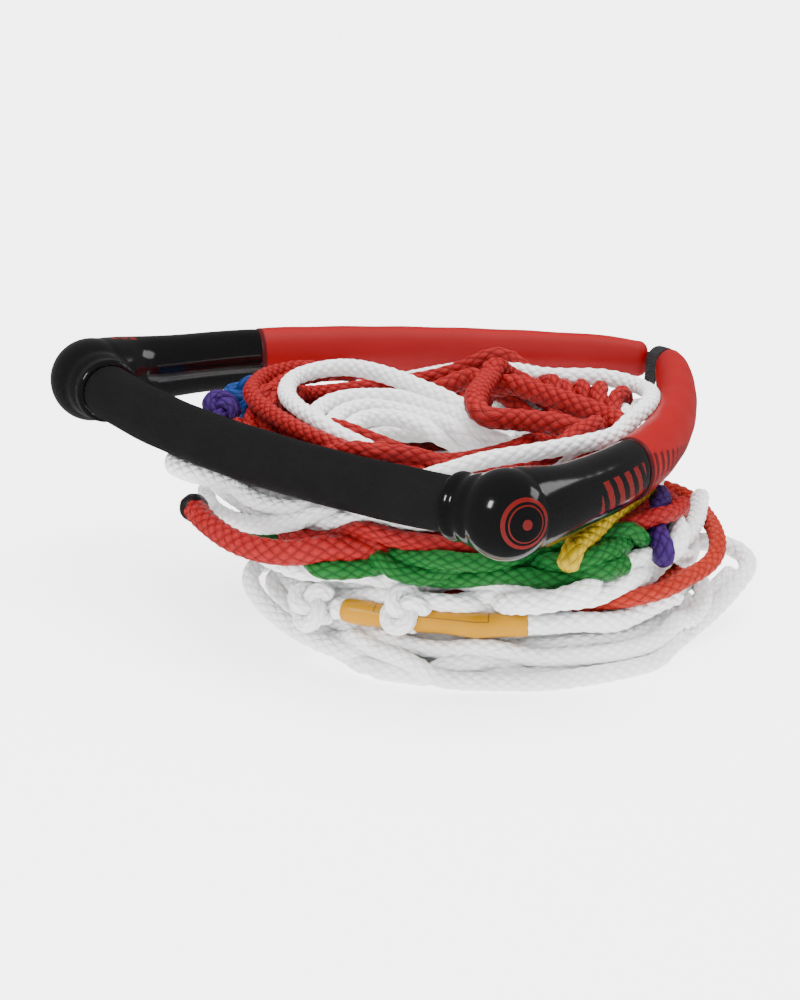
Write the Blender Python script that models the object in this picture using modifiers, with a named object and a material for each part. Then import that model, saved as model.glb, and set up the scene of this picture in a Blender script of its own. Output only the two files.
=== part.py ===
"""Water-ski tow rope handle lying on its coiled rope.

A bowed tube in a rubber grip ends in two moulded ball caps. A soft neck joins each cap to an arm: a moulded
boot, then a foam float in a vinyl sleeve, on one bridle rope that crosses the apex through a webbing strap.
The strap carries the leader of the rope, which is coiled under and inside the handle's triangle.

Metres, +Z up. The origin is on the floor, under the middle of the whole object. +X runs along the bar and
+Y from the bar to the apex. Lengths called "along" are measured on a centre line.
"""

import math

import bmesh
import bpy
from mathutils import Matrix, Vector

# ---- Clearances ----
GAP = 0.0003
ROPE_PLAY = 0.0006
BORE_PAST = 0.004  # a bore's tool runs this far past the end that it opens
FACET_PLAY = 0.0003  # a bore's flat facets lie up to this far inside its round

# ---- Bar and grip ----
BAR_SPAN = 0.3308  # ball centre to ball centre
BAR_BOW = 0.0275  # the middle of the bar lies this far outside the line through the balls
TUBE_RADIUS = 0.0095
TUBE_WALL = 0.0015
TUBE_END_INSET = 0.0125  # tube end to ball centre
PLUG_LENGTH = 0.022
GRIP_RADIUS = 0.014
GRIP_END_INSET = 0.022  # grip end to ball centre

# ---- End caps ----
BALL_RADIUS = 0.022
COLLAR_WALL = 0.0025
COLLAR_REACH = 0.036  # collar mouth to ball centre
COLLAR_ROOT = 0.014  # where the collar leaves the ball
KNOT_RADIUS = 0.0105
KNOT_STUB_START = 0.002

# ---- Neck ----
NECK_ALONG = 0.028  # hinge line to ball centre
NECK_ROPE_HALF_GAP = 0.0035

# ---- Arms ----
APEX_REACH = 0.262  # line through the balls to the point where the arms' centre lines meet
ARM_LEAVE = Vector((-0.0047, 0.0336))  # first control arm of the centre line, from the ball centre
ARM_SHOULDER = Vector((0.0141, -0.1376))  # last control point: outside the ball, and below the apex
ARM_OVAL = 1.22  # height of an arm's section over its width
BOOT_START = 0.0342
BOOT_END = 0.0975
BOOT_WALL = 0.0030
SLEEVE_END_SETBACK = 0.0125  # sleeve tip to the apex point
SLEEVE_WALL = 0.0012
SLEEVE_PROUD = 0.0007
SLEEVE_JOINT = 0.0012  # boot end to sleeve start
JOINT_STATION = 0.004  # a station this near the joint keeps both its faces square to the arm
FLOAT_START = 0.0480
FLOAT_STEP = 0.0175  # boot end to where the float fills the sleeve
FLOAT_SETBACK = 0.030  # float tip to the apex point
FLOAT_PLAY = 0.0005
# Share of the boot's or the sleeve's length, and the half width there.
BOOT_HALF_WIDTHS = ((0.0, 0.0118), (0.09, 0.0134), (0.33, 0.0129), (0.64, 0.0124), (1.0, 0.0119))
SLEEVE_HALF_WIDTHS = (
    (0.0, 0.0120),
    (0.24, 0.0110),
    (0.48, 0.0102),
    (0.69, 0.0095),
    (0.90, 0.0086),
    (1.0, 0.0062),
)
ARM_STEPS = 400

# ---- Bridle rope and apex strap ----
BRIDLE_RADIUS = 0.0040
APEX_CROSSING_DROP = 0.0045  # the rope crosses this far inside the apex point
APEX_CROSSING_HALF = 0.0052  # half the straight stretch of that crossing
BRIDLE_BEND_SETBACK = 0.016  # where the rope turns out of the arm, to the apex point
BRIDLE_BEND = (0.0095, -0.0014)  # the bend's middle, from the middle of the crossing
STRAP_HALF_WIDTH = 0.0040
STRAP_THICKNESS = 0.0022
STRAP_EYE_RADIUS = 0.0060
STRAP_DROP = 0.024
STRAP_LEAN = 0.004
LOOP_ROPE_RADIUS = 0.0035
LEADER_RADIUS = 0.0042
LEADER_PLAY = 0.0015
LEADER_SWING = 0.006
LEADER_ANGLES = (104.0, 154.0)
# Sideways, back from the start, and the share of the rise to the level that it lies on.
LEADER_RISE = (
    (0.000, -0.0055, 0.10),
    (-0.002, -0.0110, 0.35),
    (-0.005, -0.0165, 0.65),
    (-0.010, -0.0215, 0.90),
)

# ---- Rope coil ----
ROPE_RADIUS = 0.0045
COIL_CHAMFER = 0.0024
COIL_STEPS = 32
# Name, colour, centre beside the ball line, inner radius, outer radius, height; from the floor up.
COIL_LAYERS = (
    ("coil_white_tail", "white_rope", (0.070, 0.076), 0.062, 0.104, 0.0180),
    ("coil_white_lower", "white_rope", (0.060, 0.084), 0.060, 0.094, 0.0237),
    ("coil_orange", "orange_rope", (0.046, 0.085), 0.068, 0.108, 0.0087),
    ("coil_green", "green_rope", (0.042, 0.085), 0.068, 0.106, 0.0087),
    ("coil_red_lower", "red_rope", (0.026, 0.084), 0.070, 0.112, 0.0097),
    ("coil_white_upper", "white_rope", (0.018, 0.084), 0.070, 0.122, 0.0092),
)
TOP_COIL_CENTRE = (0.005, 0.093)
TOP_COIL_OUTER = 0.098
TOP_COIL_SPLIT = 0.075
TOP_COIL_INNER = 0.050
TOP_COIL_RED_HEIGHT = 0.0282
TOP_COIL_WHITE_HEIGHT = 0.0183

# ---- Label sleeve and the rope in it ----
LABEL_RADIUS = 0.0070
LABEL_WALL = 0.0010
LABEL_TURN_RADIUS = 0.112
LABEL_ANGLES = (-78.5, -32.0)
LABEL_ROPE_SHOWS = 0.005

# ---- Knots and take-off loops ----
TAIL_KNOT_SIZE = (0.012, 0.012, 0.008)
LOOP_KNOT_SIZE = (0.0105, 0.0105, 0.0100)
VIOLET_KNOT_SIZE = (0.012, 0.012, 0.010)
BLUE_KNOT_SIZE = (0.010, 0.010, 0.009)
KNOT_TURN_PLAY = 0.003
TAIL_KNOT_ANGLE = -60
TAIL_KNOT_ASIDE = 0.002
VIOLET_KNOT_ANGLE = 216
BLUE_KNOT_ANGLE = 203
YELLOW_LOOP_ANGLE = -10
VIOLET_LOOP_ANGLE = 12
TAKE_OFF_LOOP_RADIUS = 0.0125
TAKE_OFF_LOOP_PLAY = 0.002
RED_TAIL_RADIUS = 0.0052
RED_TAIL_ANGLES = (-118.0, -62.0)
FUSED_END_ANGLE = 5.0

LEFT, RIGHT = -1, 1
SIDE_NAMES = {LEFT: "left", RIGHT: "right"}


# ---- Places worked out from the sizes ----
def stack_levels():
    """The bottom of each coil layer, and the level that the handle and the top coil lie on."""
    level = 0.0
    bottoms = []
    for layer in COIL_LAYERS:
        bottoms.append(level)
        level += layer[5] + GAP
    return bottoms, level


LAYER_BOTTOMS, REST_LEVEL = stack_levels()
THICKEST_REST = max(GRIP_RADIUS, (SLEEVE_HALF_WIDTHS[0][1] + SLEEVE_PROUD) * ARM_OVAL)
HANDLE_LEVEL = REST_LEVEL + THICKEST_REST + GAP
HINGE_REACH = APEX_REACH - APEX_CROSSING_DROP
FRONT_EDGE = -BAR_BOW - GRIP_RADIUS
BACK_EDGE = HINGE_REACH + STRAP_EYE_RADIUS + STRAP_THICKNESS
BALL_LINE_Y = -(FRONT_EDGE + BACK_EDGE) / 2

BAR_ARC_RADIUS = ((BAR_SPAN / 2) ** 2 + BAR_BOW**2) / (2 * BAR_BOW)
BALL_ALONG = BAR_ARC_RADIUS * math.asin(BAR_SPAN / 2 / BAR_ARC_RADIUS)


def on_handle(x, y, z=0.0):
    """A point given from the middle of the ball line, in the handle's plane."""
    return Vector((x, y + BALL_LINE_Y, z + HANDLE_LEVEL))


def bar_point(along):
    """A point of the bar's bowed centre line, from its middle."""
    angle = along / BAR_ARC_RADIUS
    return on_handle(BAR_ARC_RADIUS * math.sin(angle), BAR_ARC_RADIUS * (1 - math.cos(angle)) - BAR_BOW)


def bar_path(start, end, count):
    return [bar_point(along) for along in spread(start, end, count)]


def arm_curve():
    """The right arm's centre line in the handle's plane, as points and the length up to each."""
    ball = Vector((BAR_SPAN / 2, 0))
    apex = Vector((0, APEX_REACH))
    leave = ball + ARM_LEAVE
    shoulder = Vector((BAR_SPAN / 2, APEX_REACH)) + ARM_SHOULDER
    points = []
    lengths = [0.0]
    for step in range(ARM_STEPS + 1):
        t = step / ARM_STEPS
        u = 1 - t
        points.append(ball * u**3 + leave * 3 * u * u * t + shoulder * 3 * u * t * t + apex * t**3)
        if step:
            lengths.append(lengths[-1] + (points[-1] - points[-2]).length)
    return points, lengths


ARM_POINTS, ARM_LENGTHS = arm_curve()
ARM_LENGTH = ARM_LENGTHS[-1]
SLEEVE_START = BOOT_END + SLEEVE_JOINT
SLEEVE_END = ARM_LENGTH - SLEEVE_END_SETBACK
FLOAT_END = ARM_LENGTH - FLOAT_SETBACK


def arm_point(along, side):
    """A point of an arm's centre line, from its ball. Past either end the line runs straight on."""
    if along <= 0:
        start, reach = ARM_POINTS[0], along
        heading = (ARM_POINTS[1] - ARM_POINTS[0]).normalized()
    elif along >= ARM_LENGTH:
        start, reach = ARM_POINTS[-1], along - ARM_LENGTH
        heading = (ARM_POINTS[-1] - ARM_POINTS[-2]).normalized()
    else:
        index = next(i for i, length in enumerate(ARM_LENGTHS) if length > along)
        start, reach = ARM_POINTS[index - 1], along - ARM_LENGTHS[index - 1]
        heading = (ARM_POINTS[index] - ARM_POINTS[index - 1]).normalized()
    flat = start + heading * reach
    return on_handle(side * flat.x, flat.y)


def arm_path(start, end, count, side):
    return [arm_point(along, side) for along in spread(start, end, count)]


def between(stations, along):
    """The value at a distance along a line, from a short list of stations."""
    for (a, low), (b, high) in zip(stations, stations[1:]):
        if along <= b:
            return low + (high - low) * max(0.0, (along - a) / (b - a))
    return stations[-1][1]


def boot_half_width(along):
    return between(BOOT_HALF_WIDTHS, (along - BOOT_START) / (BOOT_END - BOOT_START))


def sleeve_half_width(along):
    return between(SLEEVE_HALF_WIDTHS, (along - SLEEVE_START) / (SLEEVE_END - SLEEVE_START))


def spread(start, end, count):
    """Evenly spaced values from start to end, both included."""
    return [start + (end - start) * i / (count - 1) for i in range(count)]


def on_turn(centre, radius, degrees, level):
    """A point at a level on a turn of the coil, whose centre is given from the ball line."""
    angle = math.radians(degrees)
    place = on_handle(centre[0] + radius * math.cos(angle), centre[1] + radius * math.sin(angle))
    return Vector((place.x, place.y, level))


def turn_path(centre, radius, degrees, level, count):
    return [on_turn(centre, radius, angle, level) for angle in spread(*degrees, count)]


# ---- Scene, collections and materials ----
for old in list(bpy.data.objects):
    bpy.data.objects.remove(old, do_unlink=True)

PARTS = bpy.data.collections.new("tow_rope_handle")
CUTTERS = bpy.data.collections.new("cutters")
CUTTERS.hide_render = True
for group in (PARTS, CUTTERS):
    bpy.context.scene.collection.children.link(group)

# Name: colour, roughness, metallic.
FINISHES = {
    "alloy": ((0.70, 0.71, 0.73), 0.35, 1.0),
    "grip_rubber": ((0.020, 0.020, 0.021), 0.85, 0.0),
    "gloss_black": ((0.006, 0.006, 0.007), 0.12, 0.0),
    "plug_foam": ((0.10, 0.10, 0.11), 0.9, 0.0),
    "float_foam": ((0.85, 0.84, 0.80), 0.9, 0.0),
    "red_vinyl": ((0.62, 0.012, 0.022), 0.38, 0.0),
    "black_webbing": ((0.012, 0.012, 0.014), 0.8, 0.0),
    "label_vinyl": ((0.92, 0.52, 0.06), 0.4, 0.0),
    "white_rope": ((0.88, 0.88, 0.87), 0.55, 0.0),
    "red_rope": ((0.70, 0.030, 0.020), 0.5, 0.0),
    "orange_rope": ((0.85, 0.13, 0.02), 0.5, 0.0),
    "yellow_rope": ((0.80, 0.62, 0.03), 0.5, 0.0),
    "green_rope": ((0.0, 0.33, 0.06), 0.5, 0.0),
    "blue_rope": ((0.0, 0.12, 0.45), 0.5, 0.0),
    "violet_rope": ((0.11, 0.02, 0.34), 0.5, 0.0),
}


def material(name):
    found = bpy.data.materials.get(name)
    if found:
        return found
    colour, roughness, metallic = FINISHES[name]
    made = bpy.data.materials.new(name)
    made.use_nodes = True
    shader = made.node_tree.nodes["Principled BSDF"]
    shader.inputs["Base Color"].default_value = (*colour, 1)
    shader.inputs["Roughness"].default_value = roughness
    shader.inputs["Metallic"].default_value = metallic
    return made


# ---- Shapes ----
def link(obj, finish=None):
    """Puts an object in the part's collection, or with the cutters where it has no finish."""
    for group in list(obj.users_collection):
        group.objects.unlink(obj)
    (PARTS if finish else CUTTERS).objects.link(obj)
    if finish:
        obj.data.materials.clear()
        obj.data.materials.append(material(finish))
    else:
        obj.hide_render = True
        obj.display_type = "WIRE"
    return obj


def smooth(obj, angle=40):
    obj.data.shade_smooth()
    obj.data.set_sharp_from_angle(angle=math.radians(angle))


def tube_curve(name, points, radius, widths, resolution):
    curve = bpy.data.curves.new(name, "CURVE")
    curve.dimensions = "3D"
    curve.bevel_depth = radius
    curve.bevel_resolution = resolution
    curve.use_fill_caps = True
    spline = curve.splines.new("POLY")
    spline.points.add(len(points) - 1)
    for knot, point, width in zip(spline.points, points, widths or [radius] * len(points)):
        knot.co = (*point, 1)
        knot.radius = width / radius
    return bpy.data.objects.new(name, curve)


def rope_tube(name, finish, points, radius, resolution=2):
    return link(tube_curve(name, points, radius, None, resolution), finish)


def tube_mesh(name, finish, points, radius, widths=None, resolution=5, oval=1.0):
    """A solid tube as a mesh, so that it can be cut. Its section can be taller than it is wide."""
    source = tube_curve(name + "_line", points, radius, widths, resolution)
    bpy.context.scene.collection.objects.link(source)
    graph = bpy.context.evaluated_depsgraph_get()
    mesh = bpy.data.meshes.new_from_object(source.evaluated_get(graph))
    bpy.data.objects.remove(source, do_unlink=True)
    taller = bmesh.new()
    taller.from_mesh(mesh)
    bmesh.ops.remove_doubles(taller, verts=taller.verts, dist=0.00001)
    for vert in taller.verts:
        vert.co.z = HANDLE_LEVEL + (vert.co.z - HANDLE_LEVEL) * oval
    taller.to_mesh(mesh)
    taller.free()
    obj = link(bpy.data.objects.new(name, mesh), finish)
    smooth(obj)
    return obj


def ball(name, finish, centre, size, segments=20, rings=12):
    bpy.ops.mesh.primitive_uv_sphere_add(segments=segments, ring_count=rings, radius=1, location=(0, 0, 0))
    obj = bpy.context.object
    obj.name = name
    obj.data.transform(Matrix.Diagonal((*size, 1)))
    obj.location = centre
    link(obj, finish)
    smooth(obj)
    return obj


def combine(obj, other, operation):
    step = obj.modifiers.new(f"{operation.lower()}_{other.name}", "BOOLEAN")
    step.operation = operation
    step.solver = "EXACT"
    step.object = other


def cut(obj, *cutters):
    for cutter in cutters:
        combine(obj, cutter, "DIFFERENCE")


def shell(name, finish, outer, inner):
    """A tube with a bore. Each is (points, radius, widths, oval), and the inner one runs past both ends."""
    obj = tube_mesh(name, finish, *outer[:3], oval=outer[3])
    bore = tube_mesh(name + "_bore", None, *inner[:3], oval=inner[3])
    cut(obj, bore)
    return obj


# ---- Empties on the two hinge lines ----
def pivot(name, place):
    empty = bpy.data.objects.new(name, None)
    empty.location = place
    empty.empty_display_size = 0.03
    PARTS.objects.link(empty)
    return empty


NECK_PIVOT = pivot("bar_tilt_axis", on_handle(0, arm_point(NECK_ALONG, RIGHT).y - BALL_LINE_Y))
APEX_PIVOT = pivot("handle_lift_axis", on_handle(0, HINGE_REACH))


def hang_on(obj, empty):
    """Parents an object to an empty and leaves it where it is."""
    obj.parent = empty
    obj.matrix_parent_inverse = Matrix.Translation(empty.location).inverted()


# ---- Bar ----
def make_bar():
    tube_end = BALL_ALONG - TUBE_END_INSET
    grip_end = BALL_ALONG - GRIP_END_INSET
    tube_bore_end = tube_end + BORE_PAST
    grip_bore_end = grip_end + BORE_PAST
    bore = TUBE_RADIUS - TUBE_WALL
    tube = shell(
        "bar_tube",
        "alloy",
        (bar_path(-tube_end, tube_end, 13), TUBE_RADIUS, None, 1),
        (bar_path(-tube_bore_end, tube_bore_end, 13), bore, None, 1),
    )
    grip = shell(
        "grip",
        "grip_rubber",
        (bar_path(-grip_end, grip_end, 13), GRIP_RADIUS, None, 1),
        (bar_path(-grip_bore_end, grip_bore_end, 13), TUBE_RADIUS + GAP, None, 1),
    )
    pieces = [tube, grip]
    for side in (LEFT, RIGHT):
        inner, outer = tube_end - PLUG_LENGTH, tube_end
        plug_radius = TUBE_RADIUS - TUBE_WALL - GAP
        points = bar_path(side * inner, side * outer, 3)
        pieces.append(tube_mesh(f"end_plug_{SIDE_NAMES[side]}", "plug_foam", points, plug_radius))
    return pieces


def make_end_cap(side):
    """A ball with a collar for the grip's end, a hollow for the rope's knot, and the rope's way out."""
    word = SIDE_NAMES[side]
    centre = arm_point(0, side)
    cap = ball(f"end_cap_{word}", "gloss_black", centre, (BALL_RADIUS,) * 3)
    mouth = BALL_ALONG - COLLAR_REACH
    collar_path = bar_path(side * mouth, side * (BALL_ALONG - COLLAR_ROOT), 4)
    collar = tube_mesh(f"collar_{word}", None, collar_path, GRIP_RADIUS + GAP + COLLAR_WALL, resolution=6)
    combine(cap, collar, "UNION")
    grip_stop = BALL_ALONG - GRIP_END_INSET + GAP
    grip_room = tube_mesh(
        f"grip_room_{word}",
        None,
        bar_path(side * (mouth - BORE_PAST), side * grip_stop, 4),
        GRIP_RADIUS + GAP,
    )
    tube_room = tube_mesh(
        f"tube_room_{word}",
        None,
        bar_path(side * mouth, side * (BALL_ALONG - TUBE_END_INSET + GAP), 4),
        TUBE_RADIUS + GAP,
    )
    knot_room = ball(f"knot_room_{word}", None, centre, (KNOT_RADIUS + ROPE_PLAY,) * 3, 16, 10)
    rope_way = tube_mesh(
        f"rope_way_{word}", None, arm_path(0, BALL_RADIUS + BORE_PAST, 3, side), BRIDLE_RADIUS + ROPE_PLAY
    )
    cut(cap, grip_room, tube_room, knot_room, rope_way)
    knot = ball(f"stopper_knot_{word}", "black_webbing", centre, (KNOT_RADIUS,) * 3, 16, 10)
    stub_end = NECK_ALONG - NECK_ROPE_HALF_GAP
    stub = tube_mesh(f"knot_stub_{word}", None, arm_path(KNOT_STUB_START, stub_end, 3, side), BRIDLE_RADIUS)
    combine(knot, stub, "UNION")
    return [cap, knot]


# ---- Arms ----
def float_half_width(along):
    if along < BOOT_END + FLOAT_STEP:
        half_width = boot_half_width(along) - BOOT_WALL - GAP
    else:
        half_width = sleeve_half_width(along) + SLEEVE_PROUD - SLEEVE_WALL - GAP - FLOAT_PLAY
    return half_width - FACET_PLAY


def arm_tube(name, finish, stations, half_width, side, resolution=5):
    """A solid oval tube along an arm, as wide at each station as half_width says."""
    return tube_mesh(
        name,
        finish,
        [arm_point(along, side) for along in stations],
        GRIP_RADIUS,
        [half_width(along) for along in stations],
        resolution=resolution,
        oval=ARM_OVAL,
    )


def make_arm(side):
    word = SIDE_NAMES[side]
    rope_room = BRIDLE_RADIUS + ROPE_PLAY

    boot_stations = [BOOT_START + (BOOT_END - BOOT_START) * share for share, _ in BOOT_HALF_WIDTHS]
    boot_stations.insert(-1, BOOT_END - JOINT_STATION)
    boot = arm_tube(f"boot_{word}", "gloss_black", boot_stations, boot_half_width, side)
    boot_rope_way = tube_mesh(
        f"boot_rope_way_{word}", None, arm_path(BOOT_START - BORE_PAST, FLOAT_START, 3, side), rope_room
    )
    boot_float_room = arm_tube(
        f"boot_float_room_{word}",
        None,
        spread(FLOAT_START - GAP, BOOT_END + BORE_PAST, 4),
        lambda along: boot_half_width(along) - BOOT_WALL,
        side,
    )
    cut(boot, boot_rope_way, boot_float_room)

    sleeve_stations = [SLEEVE_START] + spread(SLEEVE_START + JOINT_STATION, SLEEVE_END, 11)
    sleeve = arm_tube(
        f"arm_sleeve_{word}",
        "red_vinyl",
        sleeve_stations,
        lambda along: sleeve_half_width(along) + SLEEVE_PROUD,
        side,
    )
    sleeve_room = arm_tube(
        f"sleeve_room_{word}",
        None,
        [SLEEVE_START - BORE_PAST] + sleeve_stations[1:-1] + [SLEEVE_END + BORE_PAST],
        lambda along: sleeve_half_width(along) + SLEEVE_PROUD - SLEEVE_WALL,
        side,
    )
    cut(sleeve, sleeve_room)

    in_boot = spread(FLOAT_START, BOOT_END + BORE_PAST, 4)
    float_stations = in_boot + spread(BOOT_END + FLOAT_STEP, FLOAT_END, 9)
    float_core = arm_tube(
        f"float_core_{word}", "float_foam", float_stations, float_half_width, side, resolution=4
    )
    rope_way = tube_mesh(
        f"float_rope_way_{word}",
        None,
        arm_path(FLOAT_START - BORE_PAST, FLOAT_END + BORE_PAST, 14, side),
        rope_room,
        resolution=3,
    )
    cut(float_core, rope_way)
    return [boot, sleeve, float_core]


def bridle_points():
    """One rope from neck to neck: up the left arm, level across the apex, and down the right arm."""
    start = NECK_ALONG + NECK_ROPE_HALF_GAP
    end = ARM_LENGTH - BRIDLE_BEND_SETBACK
    right = arm_path(start, end, 15, RIGHT)
    bend = [
        on_handle(BRIDLE_BEND[0], HINGE_REACH + BRIDLE_BEND[1]),
        on_handle(APEX_CROSSING_HALF, HINGE_REACH),
    ]
    half = right + bend
    other = [Vector((-point.x, point.y, point.z)) for point in reversed(half)]
    return half + other


# ---- Apex strap and leader ----
def oval_loop(name, finish, top, bottom, inner, wall, half_width):
    """An upright webbing loop round two eyes, its outline in the plane across the bar."""
    curve = bpy.data.curves.new(name, "CURVE")
    curve.dimensions = "2D"
    curve.fill_mode = "BOTH"
    curve.extrude = half_width
    slope = math.atan2(top[1] - bottom[1], top[0] - bottom[0])
    for radius in (inner + wall, inner):
        outline = []
        for centre, turn in ((top, -90), (bottom, 90)):
            for i in range(9):
                angle = slope + math.radians(turn + 180 * i / 8)
                outline.append((centre[0] + radius * math.cos(angle), centre[1] + radius * math.sin(angle)))
        spline = curve.splines.new("POLY")
        spline.points.add(len(outline) - 1)
        for knot, point in zip(spline.points, outline):
            knot.co = (*point, 0, 1)
        spline.use_cyclic_u = True
    obj = bpy.data.objects.new(name, curve)
    obj.rotation_euler = (math.radians(90), 0, math.radians(90))
    return link(obj, finish)


def make_apex():
    level = HANDLE_LEVEL
    top = (HINGE_REACH + BALL_LINE_Y, level)
    bottom = (top[0] - STRAP_LEAN, level - STRAP_DROP)
    oval_loop(
        "apex_strap", "black_webbing", top, bottom, STRAP_EYE_RADIUS, STRAP_THICKNESS, STRAP_HALF_WIDTH
    )
    wall_y = bottom[0] - STRAP_EYE_RADIUS - STRAP_THICKNESS / 2
    ring = math.hypot(STRAP_HALF_WIDTH, STRAP_THICKNESS / 2) + ROPE_PLAY / 2 + LOOP_ROPE_RADIUS
    bpy.ops.mesh.primitive_torus_add(
        major_radius=ring,
        minor_radius=LOOP_ROPE_RADIUS,
        major_segments=18,
        minor_segments=8,
        location=(0, wall_y, bottom[1]),
    )
    loop = bpy.context.object
    loop.name = "leader_loop"
    link(loop, "white_rope")
    smooth(loop)
    start = Vector((0, wall_y - ring - LOOP_ROPE_RADIUS - GAP, bottom[1]))
    lying = REST_LEVEL + LEADER_RADIUS + GAP
    turn = TOP_COIL_OUTER + LEADER_RADIUS + LEADER_PLAY
    points = [start]
    for aside, back, share in LEADER_RISE:
        height = start.z + (lying - start.z) * share
        points.append(Vector((aside, start.y + back, height)))
    for step, degrees in enumerate(spread(*LEADER_ANGLES, 11)):
        out = turn + LEADER_SWING * max(0.0, 1 - step / 2)
        points.append(on_turn(TOP_COIL_CENTRE, out, degrees, lying))
    rope_tube("leader_rope", "white_rope", points, LEADER_RADIUS)


# ---- Coil ----
def coil_ring(name, finish, centre, inner, outer, bottom, height):
    """One layer of turns as a turned ring with eased edges."""
    ease = min(COIL_CHAMFER, height / 4)
    top = height
    profile = (
        (outer - ease, top),
        (outer, top - ease),
        (outer, ease),
        (outer - ease, 0.0),
        (inner + ease, 0.0),
        (inner, ease),
        (inner, top - ease),
        (inner + ease, top),
    )
    mesh = bpy.data.meshes.new(name)
    edges = [(i, (i + 1) % len(profile)) for i in range(len(profile))]
    mesh.from_pydata([(r, 0.0, z) for r, z in profile], edges, [])
    obj = bpy.data.objects.new(name, mesh)
    place = on_handle(*centre)
    obj.location = (place.x, place.y, bottom)
    turn = obj.modifiers.new("turn", "SCREW")
    turn.steps = COIL_STEPS
    turn.render_steps = COIL_STEPS
    turn.use_merge_vertices = True
    turn.merge_threshold = 0.00005
    turn.use_smooth_shade = False
    return link(obj, finish)


def make_coil():
    for (name, finish, centre, inner, outer, height), bottom in zip(COIL_LAYERS, LAYER_BOTTOMS):
        coil_ring(name, finish, centre, inner, outer, bottom, height)
    white_outer = TOP_COIL_SPLIT - GAP / 2
    red_inner = TOP_COIL_SPLIT + GAP / 2
    for name, finish, inner, outer, height in (
        ("coil_white_inner", "white_rope", TOP_COIL_INNER, white_outer, TOP_COIL_WHITE_HEIGHT),
        ("coil_red_top", "red_rope", red_inner, TOP_COIL_OUTER, TOP_COIL_RED_HEIGHT),
    ):
        coil_ring(name, finish, TOP_COIL_CENTRE, inner, outer, REST_LEVEL, height)


def make_label():
    centre = COIL_LAYERS[1][2]
    level = LAYER_BOTTOMS[1] + COIL_LAYERS[1][5] / 2
    shows = math.degrees(LABEL_ROPE_SHOWS / LABEL_TURN_RADIUS)
    long_angles = (LABEL_ANGLES[0] - shows, LABEL_ANGLES[1] + shows)
    bore = LABEL_RADIUS - LABEL_WALL
    shell(
        "label_sleeve",
        "label_vinyl",
        (turn_path(centre, LABEL_TURN_RADIUS, LABEL_ANGLES, level, 8), LABEL_RADIUS, None, 1),
        (turn_path(centre, LABEL_TURN_RADIUS, long_angles, level, 10), bore, None, 1),
    )
    path = turn_path(centre, LABEL_TURN_RADIUS, long_angles, level, 10)
    rope_tube("label_rope", "white_rope", path, bore - GAP)
    tail_level = level + LABEL_RADIUS + TAIL_KNOT_SIZE[2] + ROPE_PLAY
    tail = on_turn(centre, LABEL_TURN_RADIUS + TAIL_KNOT_ASIDE, TAIL_KNOT_ANGLE, tail_level)
    ball("tail_knot", "white_rope", tail, TAIL_KNOT_SIZE, 14, 8)
    aside = math.degrees((LOOP_KNOT_SIZE[0] + ROPE_PLAY) / LABEL_TURN_RADIUS)
    loop = on_turn(centre, LABEL_TURN_RADIUS, long_angles[0] - aside, level)
    ball("tail_loop_knot", "white_rope", loop, LOOP_KNOT_SIZE, 14, 8)


def take_off_loop(name, finish, degrees):
    """A short loop of rope standing against the outside of the coil."""
    centre = COIL_LAYERS[2][2]
    outside = COIL_LAYERS[2][4] + ROPE_RADIUS + TAKE_OFF_LOOP_PLAY
    level = LAYER_BOTTOMS[3]
    place = on_turn(centre, outside, degrees, level)
    bpy.ops.mesh.primitive_torus_add(
        major_radius=TAKE_OFF_LOOP_RADIUS,
        minor_radius=ROPE_RADIUS,
        major_segments=16,
        minor_segments=8,
        location=place,
        rotation=(0, math.radians(90), math.radians(degrees)),
    )
    loop = bpy.context.object
    loop.name = name
    link(loop, finish)
    smooth(loop)


def make_knots():
    for name, finish, size, degrees in (
        ("violet_knot", "violet_rope", VIOLET_KNOT_SIZE, VIOLET_KNOT_ANGLE),
        ("blue_knot", "blue_rope", BLUE_KNOT_SIZE, BLUE_KNOT_ANGLE),
    ):
        out = TOP_COIL_OUTER + size[0] + KNOT_TURN_PLAY
        ball(name, finish, on_turn(TOP_COIL_CENTRE, out, degrees, REST_LEVEL + size[2] + GAP), size, 14, 8)
    take_off_loop("yellow_loop", "yellow_rope", YELLOW_LOOP_ANGLE)
    take_off_loop("violet_loop", "violet_rope", VIOLET_LOOP_ANGLE)

    centre = COIL_LAYERS[4][2]
    radius = COIL_LAYERS[4][4] + RED_TAIL_RADIUS + ROPE_PLAY
    level = LAYER_BOTTOMS[5] - RED_TAIL_RADIUS - ROPE_PLAY
    path = turn_path(centre, radius, RED_TAIL_ANGLES, level, 13)
    rope_tube("red_tail", "red_rope", path, RED_TAIL_RADIUS)
    start = RED_TAIL_ANGLES[0] - math.degrees(ROPE_PLAY / radius)
    path = turn_path(centre, radius, (start, start - FUSED_END_ANGLE), level, 3)
    rope_tube("fused_end", "black_webbing", path, RED_TAIL_RADIUS)


# ---- Assembly ----
for piece in make_bar() + make_end_cap(LEFT) + make_end_cap(RIGHT):
    hang_on(piece, NECK_PIVOT)
for piece in make_arm(LEFT) + make_arm(RIGHT):
    hang_on(piece, APEX_PIVOT)
hang_on(rope_tube("bridle_rope", "black_webbing", bridle_points(), BRIDLE_RADIUS), APEX_PIVOT)
NECK_PIVOT.parent = APEX_PIVOT
NECK_PIVOT.matrix_parent_inverse = Matrix.Translation(APEX_PIVOT.location).inverted()
make_apex()
make_coil()
make_label()
make_knots()
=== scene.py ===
"""Looks of a water-ski tow rope handle lying on its coiled rope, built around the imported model."""

import math

import bpy
import numpy as np
from mathutils import Matrix, Vector


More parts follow.
